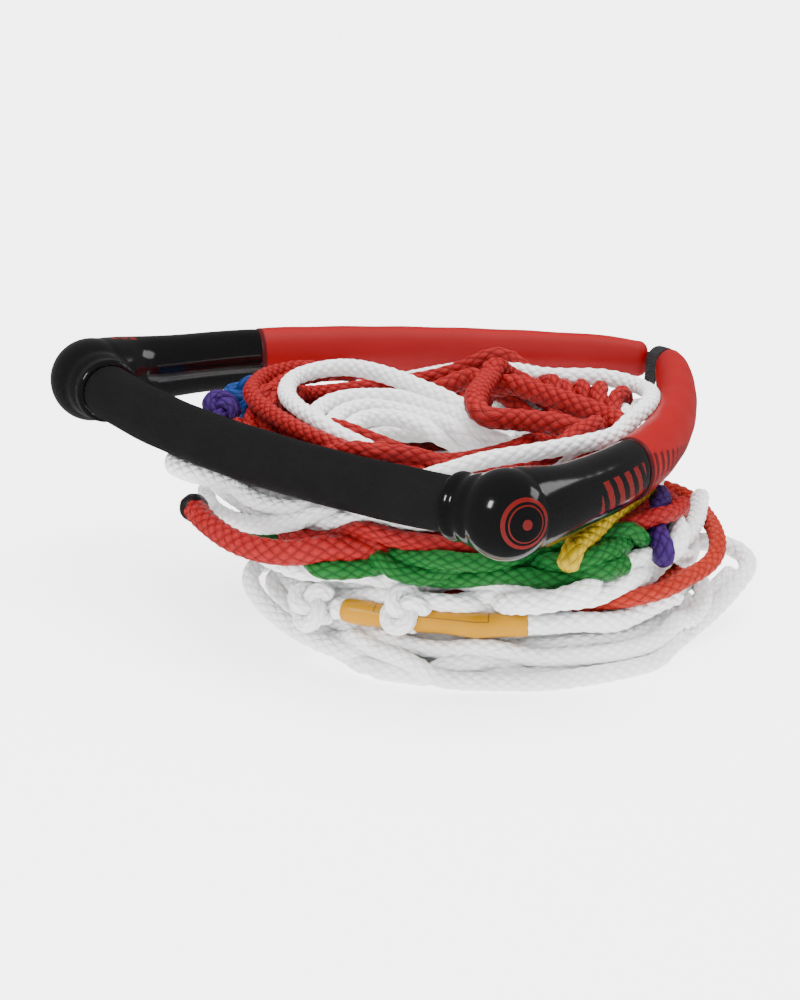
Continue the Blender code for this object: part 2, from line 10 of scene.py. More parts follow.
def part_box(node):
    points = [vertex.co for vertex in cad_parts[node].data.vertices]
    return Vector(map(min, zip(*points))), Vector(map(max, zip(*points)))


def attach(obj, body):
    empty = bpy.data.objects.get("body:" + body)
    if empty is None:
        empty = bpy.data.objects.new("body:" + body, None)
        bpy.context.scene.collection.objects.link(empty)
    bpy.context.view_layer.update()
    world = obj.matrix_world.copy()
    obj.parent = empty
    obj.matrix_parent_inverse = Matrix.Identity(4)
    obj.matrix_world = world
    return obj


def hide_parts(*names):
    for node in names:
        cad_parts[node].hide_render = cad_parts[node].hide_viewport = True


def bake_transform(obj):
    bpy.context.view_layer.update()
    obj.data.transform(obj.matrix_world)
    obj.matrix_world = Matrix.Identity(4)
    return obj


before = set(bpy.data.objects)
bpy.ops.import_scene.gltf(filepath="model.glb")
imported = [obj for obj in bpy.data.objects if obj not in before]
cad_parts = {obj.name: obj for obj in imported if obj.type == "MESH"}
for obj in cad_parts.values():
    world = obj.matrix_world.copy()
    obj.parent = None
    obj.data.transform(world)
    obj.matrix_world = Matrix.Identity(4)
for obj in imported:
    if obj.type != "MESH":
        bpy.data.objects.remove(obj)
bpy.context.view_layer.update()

# ---- Sizes shared with the part, in metres ----
BALL_LINE_Y = -0.1121
HANDLE_LEVEL = (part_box("grip")[0].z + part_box("grip")[1].z) / 2
BAR_HALF_SPAN = 0.1654
ARM_LEAVE = (-0.0047, 0.0336)  # from the ball to the point that steers the arm's start
ARM_SHOULDER = (0.0141, -0.1376)  # from the ball's x and the apex's y to the point that bows the arm
BAR_BOW = 0.0275
BAR_ARC_RADIUS = (BAR_HALF_SPAN**2 + BAR_BOW**2) / (2 * BAR_BOW)
BALL_ALONG = BAR_ARC_RADIUS * math.asin(BAR_HALF_SPAN / BAR_ARC_RADIUS)
BALL_RADIUS = 0.022
GRIP_RADIUS = 0.014
GRIP_END_INSET = 0.022
APEX_REACH = 0.262
HINGE_REACH = 0.2575
NECK_ALONG = 0.028
BOOT_END = 0.0975
SLEEVE_START = 0.0987
APEX_GAP = 0.0108  # along the arm from the sleeve's end to the apex
ARM_OVAL = 1.22
ROPE_RADIUS = 0.0045
ROPE_SPACING = 0.0085
SIDES = {"left": -1, "right": 1}


def on_handle(x, y, z=0.0):
    """A point given from the middle of the ball line, in the handle's plane."""
    return np.array((x, y + BALL_LINE_Y, z + HANDLE_LEVEL))


def bar_point(along):
    angle = along / BAR_ARC_RADIUS
    return on_handle(BAR_ARC_RADIUS * math.sin(angle), BAR_ARC_RADIUS * (1 - math.cos(angle)) - BAR_BOW)


def arm_line():
    """The right arm's centre line in its plane, ball to apex, and the length up to each point."""
    t = np.linspace(0, 1, 401)[:, None]
    u = 1 - t
    ball, apex = np.array((BAR_HALF_SPAN, 0)), np.array((0, APEX_REACH))
    leave = np.array((BAR_HALF_SPAN + ARM_LEAVE[0], ARM_LEAVE[1]))
    shoulder = np.array((BAR_HALF_SPAN + ARM_SHOULDER[0], APEX_REACH + ARM_SHOULDER[1]))
    points = ball * u**3 + leave * 3 * u * u * t + shoulder * 3 * u * t * t + apex * t**3
    return points, np.concatenate([[0], np.cumsum(np.linalg.norm(np.diff(points, axis=0), axis=1))])


ARM_POINTS, ARM_ALONG = arm_line()
ARM_LENGTH = ARM_ALONG[-1]
SLEEVE_END = ARM_LENGTH - APEX_GAP


def arm_point(along, side):
    x, y = (np.interp(along, ARM_ALONG, ARM_POINTS[:, k]) for k in (0, 1))
    return on_handle(side * x, y)


# ---- Camera ----
CAMERA_PLACE = (1.4979, -1.2951, 0.6202)
CAMERA_AZIMUTH, CAMERA_ELEVATION = 50, 16.2  # where it stands from the object, in degrees
CAMERA_LENS, CAMERA_SENSOR = 142.96, 36  # in millimetres


def add_camera():
    """A long lens at the product's front right corner, a little above it."""
    azimuth, elevation = math.radians(CAMERA_AZIMUTH), math.radians(CAMERA_ELEVATION)
    level = math.cos(elevation)
    back = Vector((math.sin(azimuth) * level, -math.cos(azimuth) * level, math.sin(elevation)))
    data = bpy.data.cameras.new("camera")
    data.lens = CAMERA_LENS
    data.sensor_width = CAMERA_SENSOR
    data.clip_start, data.clip_end = 0.05, 20
    camera = bpy.data.objects.new("camera", data)
    camera.location = CAMERA_PLACE
    camera.rotation_euler = (-back).to_track_quat("-Z", "Y").to_euler()
    bpy.context.scene.collection.objects.link(camera)
    bpy.context.scene.camera = camera


add_camera()


# ---- Materials ----
class Socket:
    """A shader socket that arithmetic can be written with."""

    def __init__(self, sheet, output):
        self.sheet = sheet
        self.output = output

    def math(self, operation, *values):
        return self.sheet.node("ShaderNodeMath", {"operation": operation}, dict(enumerate(values)))

    def __add__(self, other):
        return self.math("ADD", self, other)

    def __radd__(self, other):
        return self.math("ADD", other, self)

    def __sub__(self, other):
        return self.math("SUBTRACT", self, other)

    def __rsub__(self, other):
        return self.math("SUBTRACT", other, self)

    def __mul__(self, other):
        return self.math("MULTIPLY", self, other)

    def __rmul__(self, other):
        return self.math("MULTIPLY", other, self)

    def __truediv__(self, other):
        return self.math("DIVIDE", self, other)

    def __gt__(self, other):
        return self.math("GREATER_THAN", self, other)

    def __lt__(self, other):
        return self.math("LESS_THAN", self, other)

    def __abs__(self):
        return self.math("ABSOLUTE", self)

    def fraction(self):
        return self.math("FRACT", self)

    def floor(self):
        return self.math("FLOOR", self)

    def sine(self):
        return self.math("SINE", self)

    def power(self, exponent):
        return self.math("POWER", self, exponent)

    def most(self, other):
        return self.math("MAXIMUM", self, other)

    def band(self, low, high):
        """1 between two values and 0 outside them."""
        return (self > low) * (self < high)


class Sheet:
    """One material's node tree."""

    def __init__(self, name):
        self.material = bpy.data.materials.new(name)
        self.material.use_nodes = True
        self.tree = self.material.node_tree
        self.shader = self.tree.nodes["Principled BSDF"]

    def node(self, kind, settings=None, inputs=None, out=0):
        made = self.tree.nodes.new(kind)
        for setting, value in (settings or {}).items():
            setattr(made, setting, value)
        self.fill(made, inputs or {})
        return Socket(self, made.outputs[out])

    def fill(self, made, inputs):
        for key, value in inputs.items():
            socket = made.inputs[key]
            if isinstance(value, Socket):
                self.tree.links.new(value.output, socket)
            else:
                socket.default_value = value

    def set(self, **inputs):
        """Values or links of the main shader, by socket name with _ for a space."""
        self.fill(self.shader, {key.replace("_", " "): value for key, value in inputs.items()})

    def place(self):
        return self.node("ShaderNodeTexCoord", out="Object")

    def attribute(self, name):
        return self.node("ShaderNodeAttribute", {"attribute_name": name}, out="Fac")

    def parts(self, vector):
        split = self.tree.nodes.new("ShaderNodeSeparateXYZ")
        self.tree.links.new(vector.output, split.inputs[0])
        return [Socket(self, out) for out in split.outputs]

    def noise(self, scale, detail):
        return self.node(
            "ShaderNodeTexNoise", inputs={"Vector": self.place(), "Scale": scale, "Detail": detail}
        )

    def mix(self, factor, first, second):
        """Two colours mixed; a plain colour is three numbers."""
        first, second = (value if isinstance(value, Socket) else (*value, 1) for value in (first, second))
        return self.node("ShaderNodeMix", {"data_type": "RGBA"}, {0: factor, 6: first, 7: second}, out=2)

    def bump(self, height, strength, distance):
        return self.node(
            "ShaderNodeBump", inputs={"Height": height, "Strength": strength, "Distance": distance}
        )


BRAID_STRANDS = 6  # strands each way round the rope
BRAID_PICK = 0.0074  # along the rope from one strand to the next


def rope_finish(name, colour, groove_shade, gloss, glow=0.0):
    """A hollow braid of flat strands with fine filaments: raised where one passes over, with painted shade
    darkening the grooves between.
    """
    sheet = Sheet(name)
    uv = sheet.node("ShaderNodeUVMap", {"uv_map": "braid"})
    around, along, _ = sheet.parts(uv)
    rising = around * BRAID_STRANDS + along / BRAID_PICK
    falling = around * BRAID_STRANDS - along / BRAID_PICK
    a, b = rising.fraction(), falling.fraction()
    wander = sheet.noise(90, 3)
    over = ((rising.floor() + falling.floor()) * 0.5).fraction() > 0.25
    across = over * a + (1 - over) * b
    length = over * b + (1 - over) * a
    pillow = (across * math.pi).sine().power(0.6) * (0.25 + (length * math.pi).sine() * 0.75)
    filaments = (across * 30 + wander * 3).sine()
    fine = sheet.noise(1400, 2)
    dull = tuple(c * 0.86 for c in colour)
    clean = tuple(min(1.0, c * 1.08 + 0.01) for c in colour)
    fuzz = tuple(min(1.0, c * 1.3 + 0.06) for c in colour)
    strand = sheet.mix(fine * 0.25, sheet.mix(wander, dull, clean), fuzz)
    depth = pillow.power(0.45) * (0.93 + filaments * 0.07)
    sheet.set(
        # painted shade: the colour falls from the strand colour to the darker groove colour where the strands
        # dip between each other
        Base_Color=sheet.mix(depth, groove_shade, strand),
        Roughness=gloss + fine * 0.2 - filaments * 0.05,
        Specular_IOR_Level=0.18,
        Subsurface_Weight=glow,
        Subsurface_Scale=0.002,
        Normal=sheet.bump(pillow + filaments * 0.10 + fine * 0.12, 0.85, 0.0009),
    )
    return sheet.material


# Each rope finish: name, strand colour, painted groove shade colour, roughness and glow.
FINISHES = {
    "white_rope": rope_finish("white_rope_braid", (0.93, 0.93, 0.93), (0.72, 0.72, 0.73), 0.40, 0.1),
    "red_rope": rope_finish("red_rope_braid", (0.290, 0.0004, 0.0004), (0.070, 0.0001, 0.0001), 0.30),
    "orange_rope": rope_finish("orange_rope_braid", (0.36, 0.012, 0.0004), (0.12, 0.003, 0.0002), 0.30),
    "yellow_rope": rope_finish("yellow_rope_braid", (0.46, 0.31, 0.0006), (0.22, 0.13, 0.0005), 0.30),
    "green_rope": rope_finish("green_rope_braid", (0.0002, 0.120, 0.011), (0.0, 0.024, 0.003), 0.30),
    "blue_rope": rope_finish("blue_rope_braid", (0.0003, 0.032, 0.17), (0.0, 0.006, 0.04), 0.30),
    "violet_rope": rope_finish("violet_rope_braid", (0.030, 0.0022, 0.105), (0.007, 0.0005, 0.025), 0.30),
    "black_webbing": rope_finish("black_cord_braid", (0.014, 0.014, 0.016), (0.004, 0.004, 0.005), 0.45),
}


# ---- Meshes ----
def add_object(name, points, faces, uvs=None):
    """A mesh object from points and faces; uvs holds one pair for each face corner."""
    mesh = bpy.data.meshes.new(name)
    mesh.from_pydata([tuple(p) for p in points], [], [tuple(f) for f in faces])
    if uvs is not None:
        layer = mesh.uv_layers.new(name="braid")
        layer.data.foreach_set("uv", np.asarray(uvs, np.float32).ravel())
    mesh.shade_smooth()
    obj = bpy.data.objects.new(name, mesh)
    bpy.context.scene.collection.objects.link(obj)
    return obj


def along_line(points):
    return np.concatenate([[0], np.cumsum(np.linalg.norm(np.diff(points, axis=0), axis=1))])


def resampled(points, spacing):
    """The same line with evenly spaced points."""
    along = along_line(points)
    count = max(2, int(round(along[-1] / spacing))) + 1
    at = np.linspace(0, along[-1], count)
    return np.stack([np.interp(at, along, points[:, k]) for k in range(3)], 1)


def rounded(points, spacing):
    """A smooth line through the points, evenly spaced."""
    points = np.asarray(points, float)
    padded = np.vstack([2 * points[0] - points[1], points, 2 * points[-1] - points[-2]])
    t = np.linspace(0, 1, 12, endpoint=False)[:, None]
    spans = []
    for p0, p1, p2, p3 in zip(padded, padded[1:], padded[2:], padded[3:]):
        bend = (2 * p0 - 5 * p1 + 4 * p2 - p3) * t**2 + (-p0 + 3 * p1 - 3 * p2 + p3) * t**3
        spans.append(0.5 * (2 * p1 + (p2 - p0) * t + bend))
    return resampled(np.vstack(spans + [points[-1:]]), spacing)


def frames(centres, up=(0, 0, 1)):
    """Two directions across a line at each of its points, carried along it without twist."""
    heading = np.gradient(centres, axis=0)
    heading /= np.linalg.norm(heading, axis=1)[:, None]
    side = np.cross(up, heading[0])
    if np.linalg.norm(side) < 1e-3:
        side = np.cross((1, 0, 0), heading[0])
    sides = []
    for direction in heading:
        side = side - direction * (side @ direction)
        side = side / np.linalg.norm(side)
        sides.append(side)
    sides = np.array(sides)
    return sides, np.cross(heading, sides)


def ring_faces(rings, sides, closed_line=False):
    """Quads between rings of points, with outward faces."""
    i, j = np.meshgrid(np.arange(rings if closed_line else rings - 1), np.arange(sides), indexing="ij")
    nxt, right = (i + 1) % rings, (j + 1) % sides
    quads = np.stack([i * sides + j, i * sides + right, nxt * sides + right, nxt * sides + j], -1)
    return quads.reshape(-1, 4), i.reshape(-1), j.reshape(-1)


BRAID_RELIEF = 0.11  # the strands' rise, as a share of the rope's radius
BRAID_SQUEEZE = 0.05  # how far the rope's section is from round


def braid(name, centres, radius, slot, sides=24, closed_line=False):
    """A braided rope along a line: strands stand out where they pass over each other."""
    across, above = frames(centres)
    along = along_line(centres)
    turn = np.arange(sides) / sides
    v, u = along[:, None] / BRAID_PICK, turn[None] * BRAID_STRANDS
    rising, falling = u + v + 1000, u - v + 10000  # both kept above 0
    a, b = np.modf(rising)[0], np.modf(falling)[0]
    over = (np.floor(rising) + np.floor(falling)) % 2 > 0.5
    across_strand, on_strand = np.where(over, a, b), np.where(over, b, a)
    pillow = np.sin(math.pi * across_strand).clip(0) ** 0.6 * (0.25 + 0.75 * np.sin(math.pi * on_strand))
    squeeze = 1 + BRAID_SQUEEZE * np.cos(4 * math.pi * turn[None] + along[:, None] * 31 + len(name))
    width = radius * (1 - BRAID_RELIEF + 1.35 * BRAID_RELIEF * pillow) * squeeze
    if not closed_line:
        ends = np.minimum(along, along[-1] - along)[:, None]
        width = width * np.sqrt(np.clip(ends / (0.6 * radius) + 0.12, 0, 1))
    angle = 2 * math.pi * turn
    ring = np.cos(angle)[None, :, None] * across[:, None] + np.sin(angle)[None, :, None] * above[:, None]
    points = (centres[:, None] + ring * width[..., None]).reshape(-1, 3)
    faces, i, j = ring_faces(len(centres), sides, closed_line)
    step = along[-1] / max(1, len(centres) - 1)
    low, high = along[i], along[i] + step
    left, right = turn[j], turn[j] + 1 / sides
    uvs = np.stack([left, low, right, low, right, high, left, high], -1).reshape(-1, 2)
    faces = [tuple(f) for f in faces]
    if not closed_line:
        last = len(points) - sides
        faces += [tuple(range(sides - 1, -1, -1)), tuple(range(last, last + sides))]
        uvs = np.vstack([uvs, np.tile((0.5, 0.0), (2 * sides, 1))])
    obj = add_object(name, points, faces, uvs)
    obj.data.materials.append(FINISHES[slot])
    return obj


# ---- Rope coil ----
# The coil's own rope, one row a turn from the floor up, in millimetres: its centre from the ball line,
# its radius and its level.
COIL_TURNS = (
    (72, 76, 92, 5), (70, 80, 78, 5), (74, 82, 98, 12), (66, 82, 86, 13), (66, 86, 102, 20),
    (62, 84, 84, 22), (64, 88, 104, 28), (60, 86, 92, 31), (58, 88, 104, 37), (58, 86, 86, 40),
    (56, 86, 100, 45), (52, 86, 78, 47), (52, 88, 104, 52), (50, 88, 92, 53), (50, 90, 106, 47),
    (48, 90, 98, 50), (46, 90, 90, 56), (44, 88, 94, 60), (44, 84, 104, 60), (42, 84, 98, 62),
    (40, 86, 90, 64), (36, 86, 104, 66), (30, 84, 110, 68), (28, 84, 98, 70), (26, 84, 88, 71),
    (24, 84, 104, 75), (20, 84, 112, 76), (18, 84, 100, 78), (18, 84, 88, 79), (16, 84, 114, 85),
    (16, 84, 100, 87), (14, 86, 88, 88), (14, 90, 72, 90), (16, 88, 62, 92), (18, 86, 72, 96),
    (14, 92, 64, 99), (16, 88, 74, 101), (16, 86, 96, 96), (16, 88, 90, 98), (17, 86, 97, 100),
    (16, 88, 92, 102), (17, 88, 96, 104), (16, 88, 91, 106), (17, 88, 95, 108), (16, 88, 92, 110),
    (16, 88, 92, 110),
)
# Name, slot and length of each colour of that rope, in the same order.
COIL_SECTIONS = (
    ("rope_white_tail", "white_rope", 4.1),
    ("rope_white_lower", "white_rope", 4.1),
    ("rope_orange", "orange_rope", 1.1),
    ("rope_yellow", "yellow_rope", 0.7),
    ("rope_green", "green_rope", 2.0),
    ("rope_red_lower", "red_rope", 2.0),
    ("rope_white_upper", "white_rope", 3.85),
    ("rope_violet", "violet_rope", 0.25),
    ("rope_white_inner", "white_rope", 2.35),
    ("rope_red_top", "red_rope", 3.1),
)
# Loops and ends that lie on and against the coil: name, slot, radius and points, in millimetres from the
# ball line and above the floor.
LAID_STRANDS = (
    ("white_top_turn", "white_rope", 4.5, (
        (-84, 118, 86), (-74, 142, 90), (-50, 160, 97), (-22, 168, 101), (7, 169, 103), (28, 187, 104),
        (56, 189, 104), (85, 173, 104), (112, 141, 104), (122, 100, 105), (118, 64, 105),
        (107, 34, 103), (96, 12, 97), (64, 7, 90), (26, 7, 86), (5, 16, 83), (-10, 32, 82))),
    ("white_top_second", "white_rope", 4.5, (
        (-6, 142, 88), (14, 158, 94), (48, 171, 97), (78, 160, 98), (99, 136, 98), (108, 104, 97),
        (106, 76, 93))),
    ("white_inner_loop", "white_rope", 4.5, (
        (68, 12, 98), (49, 10, 102), (25, 8, 106), (-6, 13, 109), (-35, 28, 110), (-57, 53, 110),
        (-56, 83, 110), (-26, 89, 110), (5, 90, 107), (31, 93, 103), (47, 101, 97), (60, 92, 90),
        (62, 70, 86))),
    ("white_pile_outer", "white_rope", 4.5, (
        (50, -2, 86), (32, 12, 94), (8, 13, 98), (-16, 29, 100), (-32, 54, 101), (-28, 71, 102),
        (-9, 82, 102), (19, 84, 101), (56, 79, 100), (66, 84, 94), (72, 96, 88))),
    ("white_pile_middle", "white_rope", 4.5, (
        (40, 14, 88), (24, 23, 94), (7, 26, 97), (-12, 40, 98), (-20, 58, 99), (-14, 74, 99),
        (10, 79, 99), (43, 76, 98), (54, 81, 92), (60, 90, 86))),
    ("white_pile_inner", "white_rope", 4.5, (
        (44, 38, 86), (33, 33, 92), (19, 28, 96), (3, 39, 97), (-4, 55, 98), (5, 66, 98), (26, 70, 97),
        (39, 75, 92), (44, 80, 86))),
    ("red_loop_back", "red_rope", 5.5, (
        (-22, 86, 90), (-20, 101, 96), (-14, 115, 102), (-7, 128, 107), (10, 130, 110), (33, 133, 107),
        (64, 136, 105), (92, 138, 101), (110, 124, 94), (114, 104, 87))),
    ("red_loop_front", "red_rope", 5.8, (
        (40, 166, 84), (26, 160, 94), (11, 150, 102), (3, 139, 108), (26, 108, 113), (50, 81, 113),
        (67, 73, 110), (74, 90, 107), (88, 104, 105), (103, 113, 100), (110, 100, 93), (108, 82, 86))),
    ("red_left_turn", "red_rope", 4.5, (
        (-92, 122, 92), (-103, 96, 98), (-92, 62, 102), (-71, 34, 104), (-45, 17, 104), (-3, 4, 104),
        (35, -1, 103), (69, 3, 100), (93, 15, 94))),
    ("red_left_inner", "red_rope", 4.5, (
        (-89, 100, 98), (-90, 73, 98), (-74, 47, 98), (-47, 28, 97), (-13, 14, 96), (30, 4, 95))),
    ("white_under_bar", "white_rope", 5.0, (
        (-40, 24, 82), (-58, 10, 84), (-69, -8, 83), (-65, -23, 79), (-45, -29, 77), (-27, -25, 76),
        (-1, -22, 75), (33, -18, 75), (65, -12, 75), (88, 0, 74), (106, 16, 73))),
    ("white_under_coil", "white_rope", 5.0, (
        (-30, 18, 70), (-46, 4, 70), (-42, -12, 70), (-14, -19, 67), (16, -23, 67), (43, -20, 67),
        (71, -11, 67), (89, 6, 67), (98, 24, 67), (121, 36, 66))),
    ("red_tail_rope", "red_rope", 6.2, (
        (-24, -40, 64), (-1, -48, 62), (24, -52, 60), (48, -50, 60), (68, -38, 61), (81, -19, 63),
        (89, 6, 64), (96, 25, 64))),
    ("green_turn", "green_rope", 5.0, (
        (30, -18, 54), (52, -30, 55), (73, -35, 56), (84, -16, 56), (96, 6, 57), (112, 24, 57),
        (135, 36, 57), (157, 42, 58), (164, 61, 60), (149, 90, 62), (122, 115, 64))),
    ("green_lower", "green_rope", 5.0, (
        (62, 8, 49), (88, 0, 50), (111, 6, 51), (135, 24, 52), (152, 37, 54), (163, 56, 55),
        (160, 82, 55))),
    ("yellow_take_off", "yellow_rope", 5.5, (
        (119, 137, 72), (138, 100, 74), (150, 74, 72), (158, 55, 69), (163, 43, 64), (166, 37, 59))),
    ("white_outer_turn", "white_rope", 4.8, (
        (2, -14, 50), (18, -32, 51), (41, -38, 51), (66, -26, 50), (90, -2, 49), (118, 19, 48),
        (151, 35, 46), (162, 64, 46), (155, 103, 48), (134, 151, 52), (102, 189, 56))),
    ("white_noose", "white_rope", 5.2, (
        (118, 42, 43), (142, 38, 45), (154, 44, 47), (158, 62, 48), (155, 97, 50), (156, 119, 53),
        (139, 136, 60), (126, 132, 66), (129, 110, 66), (152, 76, 60), (164, 56, 52), (166, 36, 47),
        (152, 22, 44), (130, 26, 42), (108, 42, 42))),
    ("violet_take_off", "violet_rope", 5.5, (
        (112, 150, 66), (124, 138, 68), (138, 122, 67), (146, 115, 62), (157, 108, 55), (165, 102, 48))),
    ("orange_outer_turn", "orange_rope", 4.5, (
        (40, 205, 46), (73, 204, 47), (106, 188, 47), (138, 166, 46), (154, 148, 42), (163, 124, 40),
        (167, 100, 37), (162, 76, 34), (148, 58, 32))),
    ("white_floor_turn", "white_rope", 4.5, (
        (104, 180, 34), (117, 193, 32), (134, 192, 28), (144, 170, 18), (154, 136, 10), (162, 98, 6),
        (159, 61, 5), (146, 27, 5), (121, 10, 5), (95, 0, 6), (74, -20, 9), (46, -29, 14),
        (20, -32, 24), (0, -24, 31), (-10, -4, 34), (-8, 20, 34))),
    ("white_floor_inner", "white_rope", 4.5, (
        (133, 184, 24), (139, 153, 16), (144, 115, 12), (136, 82, 9), (118, 51, 6), (99, 23, 6),
        (74, 6, 8), (48, -12, 12), (23, -17, 20), (6, -14, 28), (0, 6, 32), (6, 28, 32))),
    ("leader", "white_rope", 4.4, (
        (2, 226, 73), (-1, 218, 76), (-7, 208, 80), (-20, 196, 84), (-45, 181, 84), (-68, 161, 84),
        (-86, 140, 84), (-95, 118, 84), (-98, 96, 84))),
    ("label_line", "white_rope", 6.6, (
        (65, -25, 31), (79, -17, 30), (114, 3, 30), (144, 29, 30), (156, 50, 30), (163, 83, 31),
        (160, 120, 33))),
)
LABEL_LINE_RADIUS = 0.0052  # under its sleeve
STRAND_HOLD = 0.30  # how firmly a laid strand keeps its place as the coil settles
COIL_HOLD = 0.045
SETTLE_STEPS = 150
ROPES_NEAR = 0.0145  # ropes this near are tested against each other
HANDLE_NEAR = 0.034
PRESS = 0.96  # two ropes may come this near, as a share of their radii
PUSH = 0.75  # share of an overlap that one pass takes away
SAG = 0.00022  # how far the coil sinks in a step
STRAIGHTEN = 0.12


# Name, slot, centre in millimetres from the ball line, turns about x, y and z in degrees, and its CAD node.
KNOTS = (
    ("sleeve_knot", "white_rope", (103, -9, 35), (70, 20, 35), "tail_knot"),
    ("loop_knot", "white_rope", (58, -30, 31), (60, -10, 40), "tail_loop_knot"),
    ("violet_knot_tied", "violet_rope", (-86, 24, 89), (40, 20, 10), "violet_knot"),
    ("blue_knot_tied", "blue_rope", (-96, 50, 91), (30, -20, 50), "blue_knot"),
)


def from_ball_line(place):
    """A place in millimetres from the middle of the ball line and above the floor, in metres."""
    x, y, z = place
    return np.array((x / 1000, y / 1000 + BALL_LINE_Y, z / 1000))


def wander(random, terms, angle, reach):
    """A slow seeded waver along an angle."""
    out = np.zeros_like(angle)
    for k in range(1, terms + 1):
        size, rate, start = random.normal(0, 1), random.uniform(0.4, 0.9), random.uniform(0, 2 * math.pi)
        out += size * np.sin(angle * k * rate + start) / math.sqrt(k)
    return reach * out / math.sqrt(terms)


def coil_line():
    """The coil's rope before it settles, as evenly spaced points."""
    random = np.random.default_rng(23)
    rows = np.array(COIL_TURNS, float) / 1000
    rows[:, :2] += random.normal(0, 0.0035, (len(rows), 2))
    angle = np.linspace(0, 2 * math.pi * (len(rows) - 1), len(rows) * 200)
    turn = angle / (2 * math.pi)
    x, y, radius, level = (np.interp(turn, np.arange(len(rows)), rows[:, k]) for k in range(4))
    x += wander(random, 2, angle, 0.004)
    y += wander(random, 2, angle, 0.004)
    radius += wander(random, 4, angle, 0.0045)
    level += wander(random, 3, angle, 0.0025)
    start = math.radians(-150)
    line = np.stack(
        [
            x + radius * np.cos(angle + start),
            y + radius * np.sin(angle + start) + BALL_LINE_Y,
            np.maximum(level, ROPE_RADIUS),
        ],
        1,
    )
    total = sum(length for _, _, length in COIL_SECTIONS)
    line = resampled(line, ROPE_SPACING)
    return line[: int(round(total / ROPE_SPACING)) + 1]


# Station on the arm and the radius that the rope keeps clear of.
ARM_CLEARANCES = (
    (0, 0.0225), (0.018, 0.0205), (0.03, 0.0170), (0.04, 0.0165), (0.1, 0.0150), (0.2, 0.0130),
    (0.289, 0.0110), (0.322, 0.0080),
)
KNOT_CLEARANCE = 0.011
KNOT_ROPE_RADIUS = 0.0040


def handle_spheres():
    """Spheres that fill the handle, so that the rope settles beside it and under it."""
    along = np.arange(0, ARM_LENGTH, 0.007)
    widths = np.interp(along, *np.array(ARM_CLEARANCES).T)
    centres, radii = [], []
    for side in SIDES.values():
        centres += [arm_point(s, side) for s in along]
        radii += list(widths)
    for s in np.linspace(-0.15, 0.15, 41):
        centres.append(bar_point(s))
        radii.append(GRIP_RADIUS + 0.0004)
    for _, _, centre, _, _ in KNOTS[2:]:
        centres.append(from_ball_line(centre))
        radii.append(KNOT_CLEARANCE)
    return np.array(centres), np.array(radii)


def settled(lines, radii, holds):
    """The ropes after they have pushed each other and the handle apart, as one list of lines."""
    centres, sphere_radii = handle_spheres()
    points = np.concatenate(lines)
    home = points.copy()
    count = len(points)
    ends = np.cumsum([len(line) for line in lines])
    rope = np.repeat(np.arange(len(lines)), [len(line) for line in lines])
    radius = np.repeat(radii, [len(line) for line in lines])
    hold = np.repeat(holds, [len(line) for line in lines])
    laid = hold > COIL_HOLD
    linked = np.nonzero(rope[:-1] == rope[1:])[0]
    gaps = np.linalg.norm(points[linked + 1] - points[linked], axis=1)
    halves = [linked % 2 == 0, linked % 2 == 1]
    middle = np.arange(1, count - 1)
    middle = middle[(rope[middle - 1] == rope[middle]) & (rope[middle + 1] == rope[middle])]
    for step in range(SETTLE_STEPS):
        if step % 8 == 0:
            found = []
            for first in range(0, count, 400):
                near = (np.abs(points[first : first + 400, None] - points[None]) < ROPES_NEAR).all(2)
                i, j = np.nonzero(near)
                i += first
                keep = (j > i) & ~((rope[i] == rope[j]) & (j - i < 4))
                found.append(np.stack([i[keep], j[keep]], 1))
            i, j = np.concatenate(found).T
            apart = (radius[i] + radius[j]) * PRESS
            give = hold[i] / (hold[i] + hold[j])
            piece, sphere = np.nonzero((np.abs(points[:, None] - centres[None]) < HANDLE_NEAR).all(2))
        fade = 1 - step / SETTLE_STEPS
        pull = np.where(laid, hold, hold * fade + 0.004)
        points += pull[:, None] * (home - points) * (1, 1, 0.7)
        points[:, 2] -= np.where(laid, 0, SAG)
        for _ in range(3):
            across = points[j] - points[i]
            far = np.linalg.norm(across, axis=1) + 1e-9
            push = np.maximum(0, apart - far) / far * PUSH
            hit = push > 0
            shift, hits = np.zeros_like(points), np.ones(count)
            np.add.at(shift, i[hit], -across[hit] * (push * (1 - give))[hit, None])
            np.add.at(shift, j[hit], across[hit] * (push * give)[hit, None])
            np.add.at(hits, i[hit], 0.35)
            np.add.at(hits, j[hit], 0.35)
            points += shift / hits[:, None]
            across = points[piece] - centres[sphere]
            far = np.linalg.norm(across, axis=1) + 1e-9
            push = np.maximum(0, sphere_radii[sphere] + radius[piece] - far) / far
            shift, hits = np.zeros_like(points), np.ones(count)
            np.add.at(shift, piece, across * push[:, None])
            np.add.at(hits, piece[push > 0], 0.7)
            points += shift / hits[:, None]
            for half in halves:
                a = linked[half]
                across = points[a + 1] - points[a]
                far = np.linalg.norm(across, axis=1) + 1e-9
                change = across * ((far - gaps[half]) / far * 0.5)[:, None]
                points[a] += change
                points[a + 1] -= change
        points[middle] += STRAIGHTEN * ((points[middle - 1] + points[middle + 1]) / 2 - points[middle])
        points[:, 2] = np.maximum(points[:, 2], radius)
    return np.split(points, ends[:-1])


def lay_rope():
    """Settles the coil and everything laid on it; returns each strand's smooth line by name."""
    coil = coil_line()
    laid = []
    for _, _, radius, points in LAID_STRANDS:
        laid.append(rounded([from_ball_line(place) for place in points], ROPE_SPACING))
    radii = [ROPE_RADIUS] + [radius / 1000 for _, _, radius, _ in LAID_STRANDS]
    holds = [COIL_HOLD] + [STRAND_HOLD] * len(laid)
    coil, *laid = settled([coil] + laid, radii, holds)
    lines = {}
    start = 0
    for name, _, length in COIL_SECTIONS:
        stop = min(len(coil), start + int(round(length / ROPE_SPACING)) + 1)
        lines[name] = coil[start:stop]
        start = stop - 1
    lines.update({strand[0]: line for strand, line in zip(LAID_STRANDS, laid)})
    return lines


